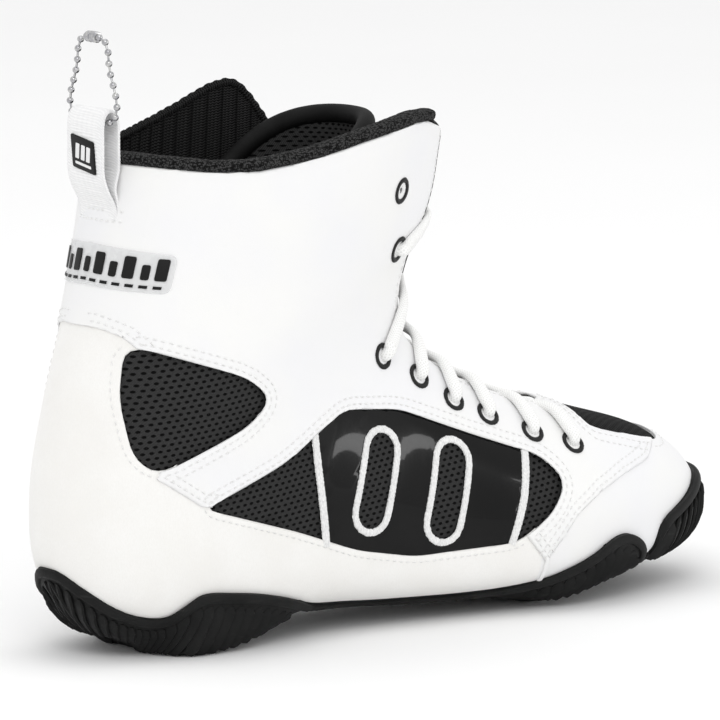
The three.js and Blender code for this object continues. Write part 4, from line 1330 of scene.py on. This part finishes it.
# keep each width direction on the same side as the last, then fill in a smooth run
for k in range(1, len(lace)):
    if lace[k][1].dot(lace[k - 1][1]) < 0:
        lace[k] = (lace[k][0], -lace[k][1], *lace[k][2:])
table = np.array([[*p, *w, hw, ht] for p, w, hw, ht in lace])
filled = []
for i in range(len(table) - 1):
    a, b, c, d = (table[min(max(i + k, 0), len(table) - 1)] for k in (-1, 0, 1, 2))
    count = max(1, round(float(np.linalg.norm((c - b)[:3])) / .9))
    for k in range(count):
        filled.append(between(a, b, c, d, k / count))
filled = np.array(filled)
filled[:, 0] += [flare(Vector(row[:3])) for row in filled]
lace_shape = swept([Vector(r[:3]) for r in filled], [Vector(r[3:6]) for r in filled],
                   filled[:, 6], filled[:, 7], 14, power=.8)
piece("lace_flat", lace_shape, "lace", sharp=60, replaces=["lace"])


# ---- pull loop, label and chain ------------------------------------------
def back_x(z):
    us = np.linspace(.5, 1, 800)
    line = skin(us, PI)
    return float(np.interp(z, line[:, 2], line[:, 0]))


LOOP_TOP, LOOP_HALF, WEB = 201.5, 11, 1.4         # height, half width and thickness of the webbing
leg_in = back_x(181) - 1.1
leg_out = leg_in - 8.4
ribbon = [(back_x(161) + 1.8, 161), (back_x(164.5) + 1.1, 164.5), (back_x(168.5) - .3, 168.5),
          (back_x(172) - 1.7, 172), (back_x(175) - 1.8, 175), (leg_in - .7, 180), (leg_in - .7, 188),
          (leg_in - .8, 195.5), (leg_in - 1.9, 199.2), ((leg_in + leg_out) / 2, LOOP_TOP - .7),
          (leg_out + 1.9, 199.2), (leg_out + .8, 195.5), (leg_out + .7, 188), (leg_out + .8, 178),
          (back_x(172) - 5.2, 172), (back_x(168.5) - 2.6, 168.5), (back_x(165) - .4, 165),
          (back_x(161) + .8, 161)]
ribbon = smooth_line([(x, 0, z) for x, z in ribbon], .33)
web = swept(ribbon, [Vector((0, 1, 0))], LOOP_HALF, [.62 + .16 * (k % 4 < 2) for k in range(len(ribbon))],
            28, power=.3, pattern=(46, 110))
web_piece = piece("loop_webbing", web, "webbing", sharp=50, ridden=False,
                  replaces=["loop_base", "pull_loop"])
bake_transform(web_piece)

sewn = bmesh.new()
backward = Vector((-1, 0, .12)).normalized()
for z in (160.4, 164.0):
    sew(sewn, [(strike_back(y, z)[0] - Vector((ON_QUARTER, 0, 0)), backward, Vector((0, 1, 0)))
               for y in np.arange(-12.5, 12.6, 2.9)], 2.2, .8, .45)
piece("loop_sewing", sewn, "white_thread")


def plate(line, thick, place, bevel):
    """A flat shape drawn in two directions, with thickness and softened edges, then placed by a matrix."""
    bm = bmesh.new()
    face = bmesh.ops.contextual_create(bm, geom=[bm.verts.new((x, y, 0)) for x, y in line])["faces"][0]
    if face.normal.z < 0:
        bmesh.ops.reverse_faces(bm, faces=[face])
    lower = bmesh.ops.extrude_face_region(bm, geom=[face])["geom"]
    bmesh.ops.translate(bm, vec=(0, 0, thick), verts=[g for g in lower if isinstance(g, bmesh.types.BMVert)])
    bmesh.ops.recalc_face_normals(bm, faces=bm.faces)
    top = [e for e in bm.edges if all(v.co.z > thick * .9 for v in e.verts)]
    bmesh.ops.bevel(bm, geom=top, offset=bevel, affect="EDGES", segments=2, profile=.5, material=-1)
    bm.loops.layers.uv.new("flat")
    bmesh.ops.transform(bm, matrix=place, verts=bm.verts)
    return bm


def on_loop(depth):
    """Frame on the outer leg of the loop: x is along the boot's width, y up, z away from the heel."""
    return Matrix(((0, 0, -1, leg_out - .12 - depth), (-1, 0, 0, 0), (0, 1, 0, LABEL_AT), (0, 0, 0, 1)))


def slanted(line):
    return [(x - .12 * y, y - .16 * x) for x, y in line]


def box(x0, x1, z0, z1):
    return [(x0, z0), (x1, z0), (x1, z1), (x0, z1)]


LABEL_AT, LABEL_THICK = 184.5, .6
label_line = slanted(soften(box(-7, 7, -6, 6), 1.0, 2))
piece("label_cloth", plate(label_line, LABEL_THICK, on_loop(0), .2), "label", body="loop", sharp=30,
      replaces=["loop_label"])
strokes = [[(x - 1.1, -2.2), (x + 1.1, -2.2), (x + 2.1, 3.4), (x - .1, 3.4)] for x in (-3.6, -.2, 3.0)]
strokes.append(box(-4.8, 4.8, -4.3, -3.3))
emblem = [plate(slanted(soften(line, .3)), .16, on_loop(LABEL_THICK), .05) for line in strokes]
piece("label_emblem", join(emblem), "white_ink", body="loop", sharp=30)

BEAD, BEAD_PITCH, WIRE = 1.3, 4.1, .42            # radius, pitch, and radius of the link between two
chain_x, chain_low = (leg_in + leg_out) / 2, LOOP_TOP - WEB - 1.6 - 2
strand = [(3.5, 0), (8.6, 0), (11.4, .6), (13.6, 2.4), (14.6, 5.4), (14, 9.6), (12.4, 13.6), (10.8, 17.4),
          (9.8, 21.4), (9.5, 24.6), (8.7, 27.6), (6.6, 29.8), (3.9, 30.5)]
chain_line = smooth_line([(chain_x, -y, chain_low + up) for y, up in strand[::-1]]
                         + [(chain_x, y, chain_low + up) for y, up in strand], .25)
chain_long = sum((b - a).length for a, b in zip(chain_line, chain_line[1:]))
beads = bmesh.new()
count = round(chain_long / BEAD_PITCH)
run = even(chain_line, chain_long / count)


def facing_along(middle, way):
    return Matrix.Translation(middle) @ way.to_track_quat("Z", "Y").to_matrix().to_4x4()


for k in range(count + 1):
    way = (run[min(k + 1, count)] - run[max(k - 1, 0)]).normalized()
    bmesh.ops.create_uvsphere(beads, u_segments=16, v_segments=12, radius=BEAD,
                              matrix=facing_along(run[k], way))
    if k < count:
        gap = run[k + 1] - run[k]
        bmesh.ops.create_cone(beads, segments=8, radius1=WIRE, radius2=WIRE, depth=gap.length,
                              matrix=facing_along((run[k] + run[k + 1]) / 2, gap))
chain_piece = piece("bead_chain", beads, "nickel", body="chain", sharp=50, replaces=["ball_chain"])
barrel_line = [Vector((chain_x, y, chain_low + 30.5)) for y in
               (-3.3, -3.25, -2.9, -2.4, -.5, -.35, .35, .5, 2.4, 2.9, 3.25, 3.3)]
barrel_size = [1.1, 1.7, 2.0, 2.1, 2.1, 1.85, 1.85, 2.1, 2.1, 2.0, 1.7, 1.1]
barrel = swept(barrel_line, [Vector((1, 0, 0))], barrel_size, barrel_size, 24)
barrel_piece = piece("chain_barrel", barrel, "nickel", body="chain", sharp=35, replaces=["chain_connector"])

# ---- film patch round the back of the shaft ------------------------------
FILM_UP, FILM = 1.0, .35           # depth of its inner face and its thickness
angles = np.linspace(0, 1.6, 160)


def at_height(angle, z):
    """Section share where the skin is at a height, at an angle from the back line."""
    us = np.linspace(.7, 1, 300)
    return float(np.interp(z, skin(us, PI - abs(angle))[:, 2], us))


ring_at = np.array([skin(at_height(a, 143), -(PI - a))[0] for a in angles])
runs = run_along(ring_at)


def round_back(s, z, depth):
    """Point at a distance round from the back line (plus is the outer side), a height and a depth."""
    angle = float(np.interp(abs(s), runs, angles))
    phi = -(PI - angle) if s > 0 else PI - angle
    return spot(at_height(angle, z), phi, depth)


def wrapped(line, depth, thick):
    """A flat shape bent round the back of the shaft, cut every few millimetres so that it can bend."""
    step = 2.0
    bm = plate(line, thick, Matrix.Identity(4), .12)
    xs = [v.co.x for v in bm.verts]
    for x in np.arange(min(xs) + step / 2, max(xs), step):
        bmesh.ops.bisect_plane(bm, geom=bm.verts[:] + bm.edges[:] + bm.faces[:], dist=.01,
                               plane_co=(x, 0, 0), plane_no=(1, 0, 0))
    for v in bm.verts:
        v.co = round_back(v.co.x, v.co.y, depth + v.co.z)
    bmesh.ops.reverse_faces(bm, faces=bm.faces)
    return bm


def slope(line):
    """The patch drops a little towards its ends."""
    return [(s, z - abs(s) * .055) for s, z in line]


film_line = [(-36, 137), (-36, 151), (-12, 152), (0, 152), (12, 152), (36, 151), (36, 137), (12, 137),
             (0, 137), (-12, 137)]
film = wrapped(slope(soften(film_line, 3, 2)), FILM_UP, FILM)
piece("patch_film", film, "film", sharp=35, replaces=["back_patch"])
marks = []
for k, start in enumerate((-33, -26, -20.5, -13.5, -8, -1, 4.5, 11.5, 17, 24, 29.2)):
    wide, high = (3.2, 5.5) if k % 2 else (4.5, 8)
    bar = soften(box(start, start + wide, 141.5, 141.5 + high), .8)
    marks.append(wrapped(slope(bar), FILM_UP + FILM, .28))
for start in np.arange(-33, 31, 5.2):
    marks.append(wrapped(slope(box(start, start + 3.2, 138.5, 139.6)), FILM_UP + FILM, .2))
piece("patch_bars", join(marks), "black_ink", sharp=35)

# ---- floor and light -----------------------------------------------------
floor_bm = lattice(2, 2, lambda a, b: np.stack([a * 8000 - 4000, b * 8000 - 4000, a * 0 - .05], 1))
floor = piece("floor", floor_bm, "floor", ridden=False)

world = bpy.data.worlds.new("studio")
scene.world = world
world.use_nodes = True
sky = world.node_tree.nodes["Background"].inputs
sky["Color"].default_value = (1, 1, 1, 1)
sky["Strength"].default_value = .95
for name, place, size, power in (("key", (-.9, -1.3, 1.5), (.9, .9), 8),
                                 ("strip", (1.5, -1.75, .42), (.16, .8), 3.4),
                                 ("top", (.3, .3, 1.9), (1.4, 1.4), 4)):
    lamp = bpy.data.objects.new(name, bpy.data.lights.new(name, "AREA"))
    lamp.data.shape = "RECTANGLE"
    lamp.data.energy, (lamp.data.size, lamp.data.size_y) = power, size
    lamp.location = place
    lamp.rotation_mode = "QUATERNION"
    lamp.rotation_quaternion = (Vector(place) - Vector((.1, 0, .1))).to_track_quat("Z", "Y")
    scene.collection.objects.link(lamp)
scene.view_settings.view_transform = "Standard"
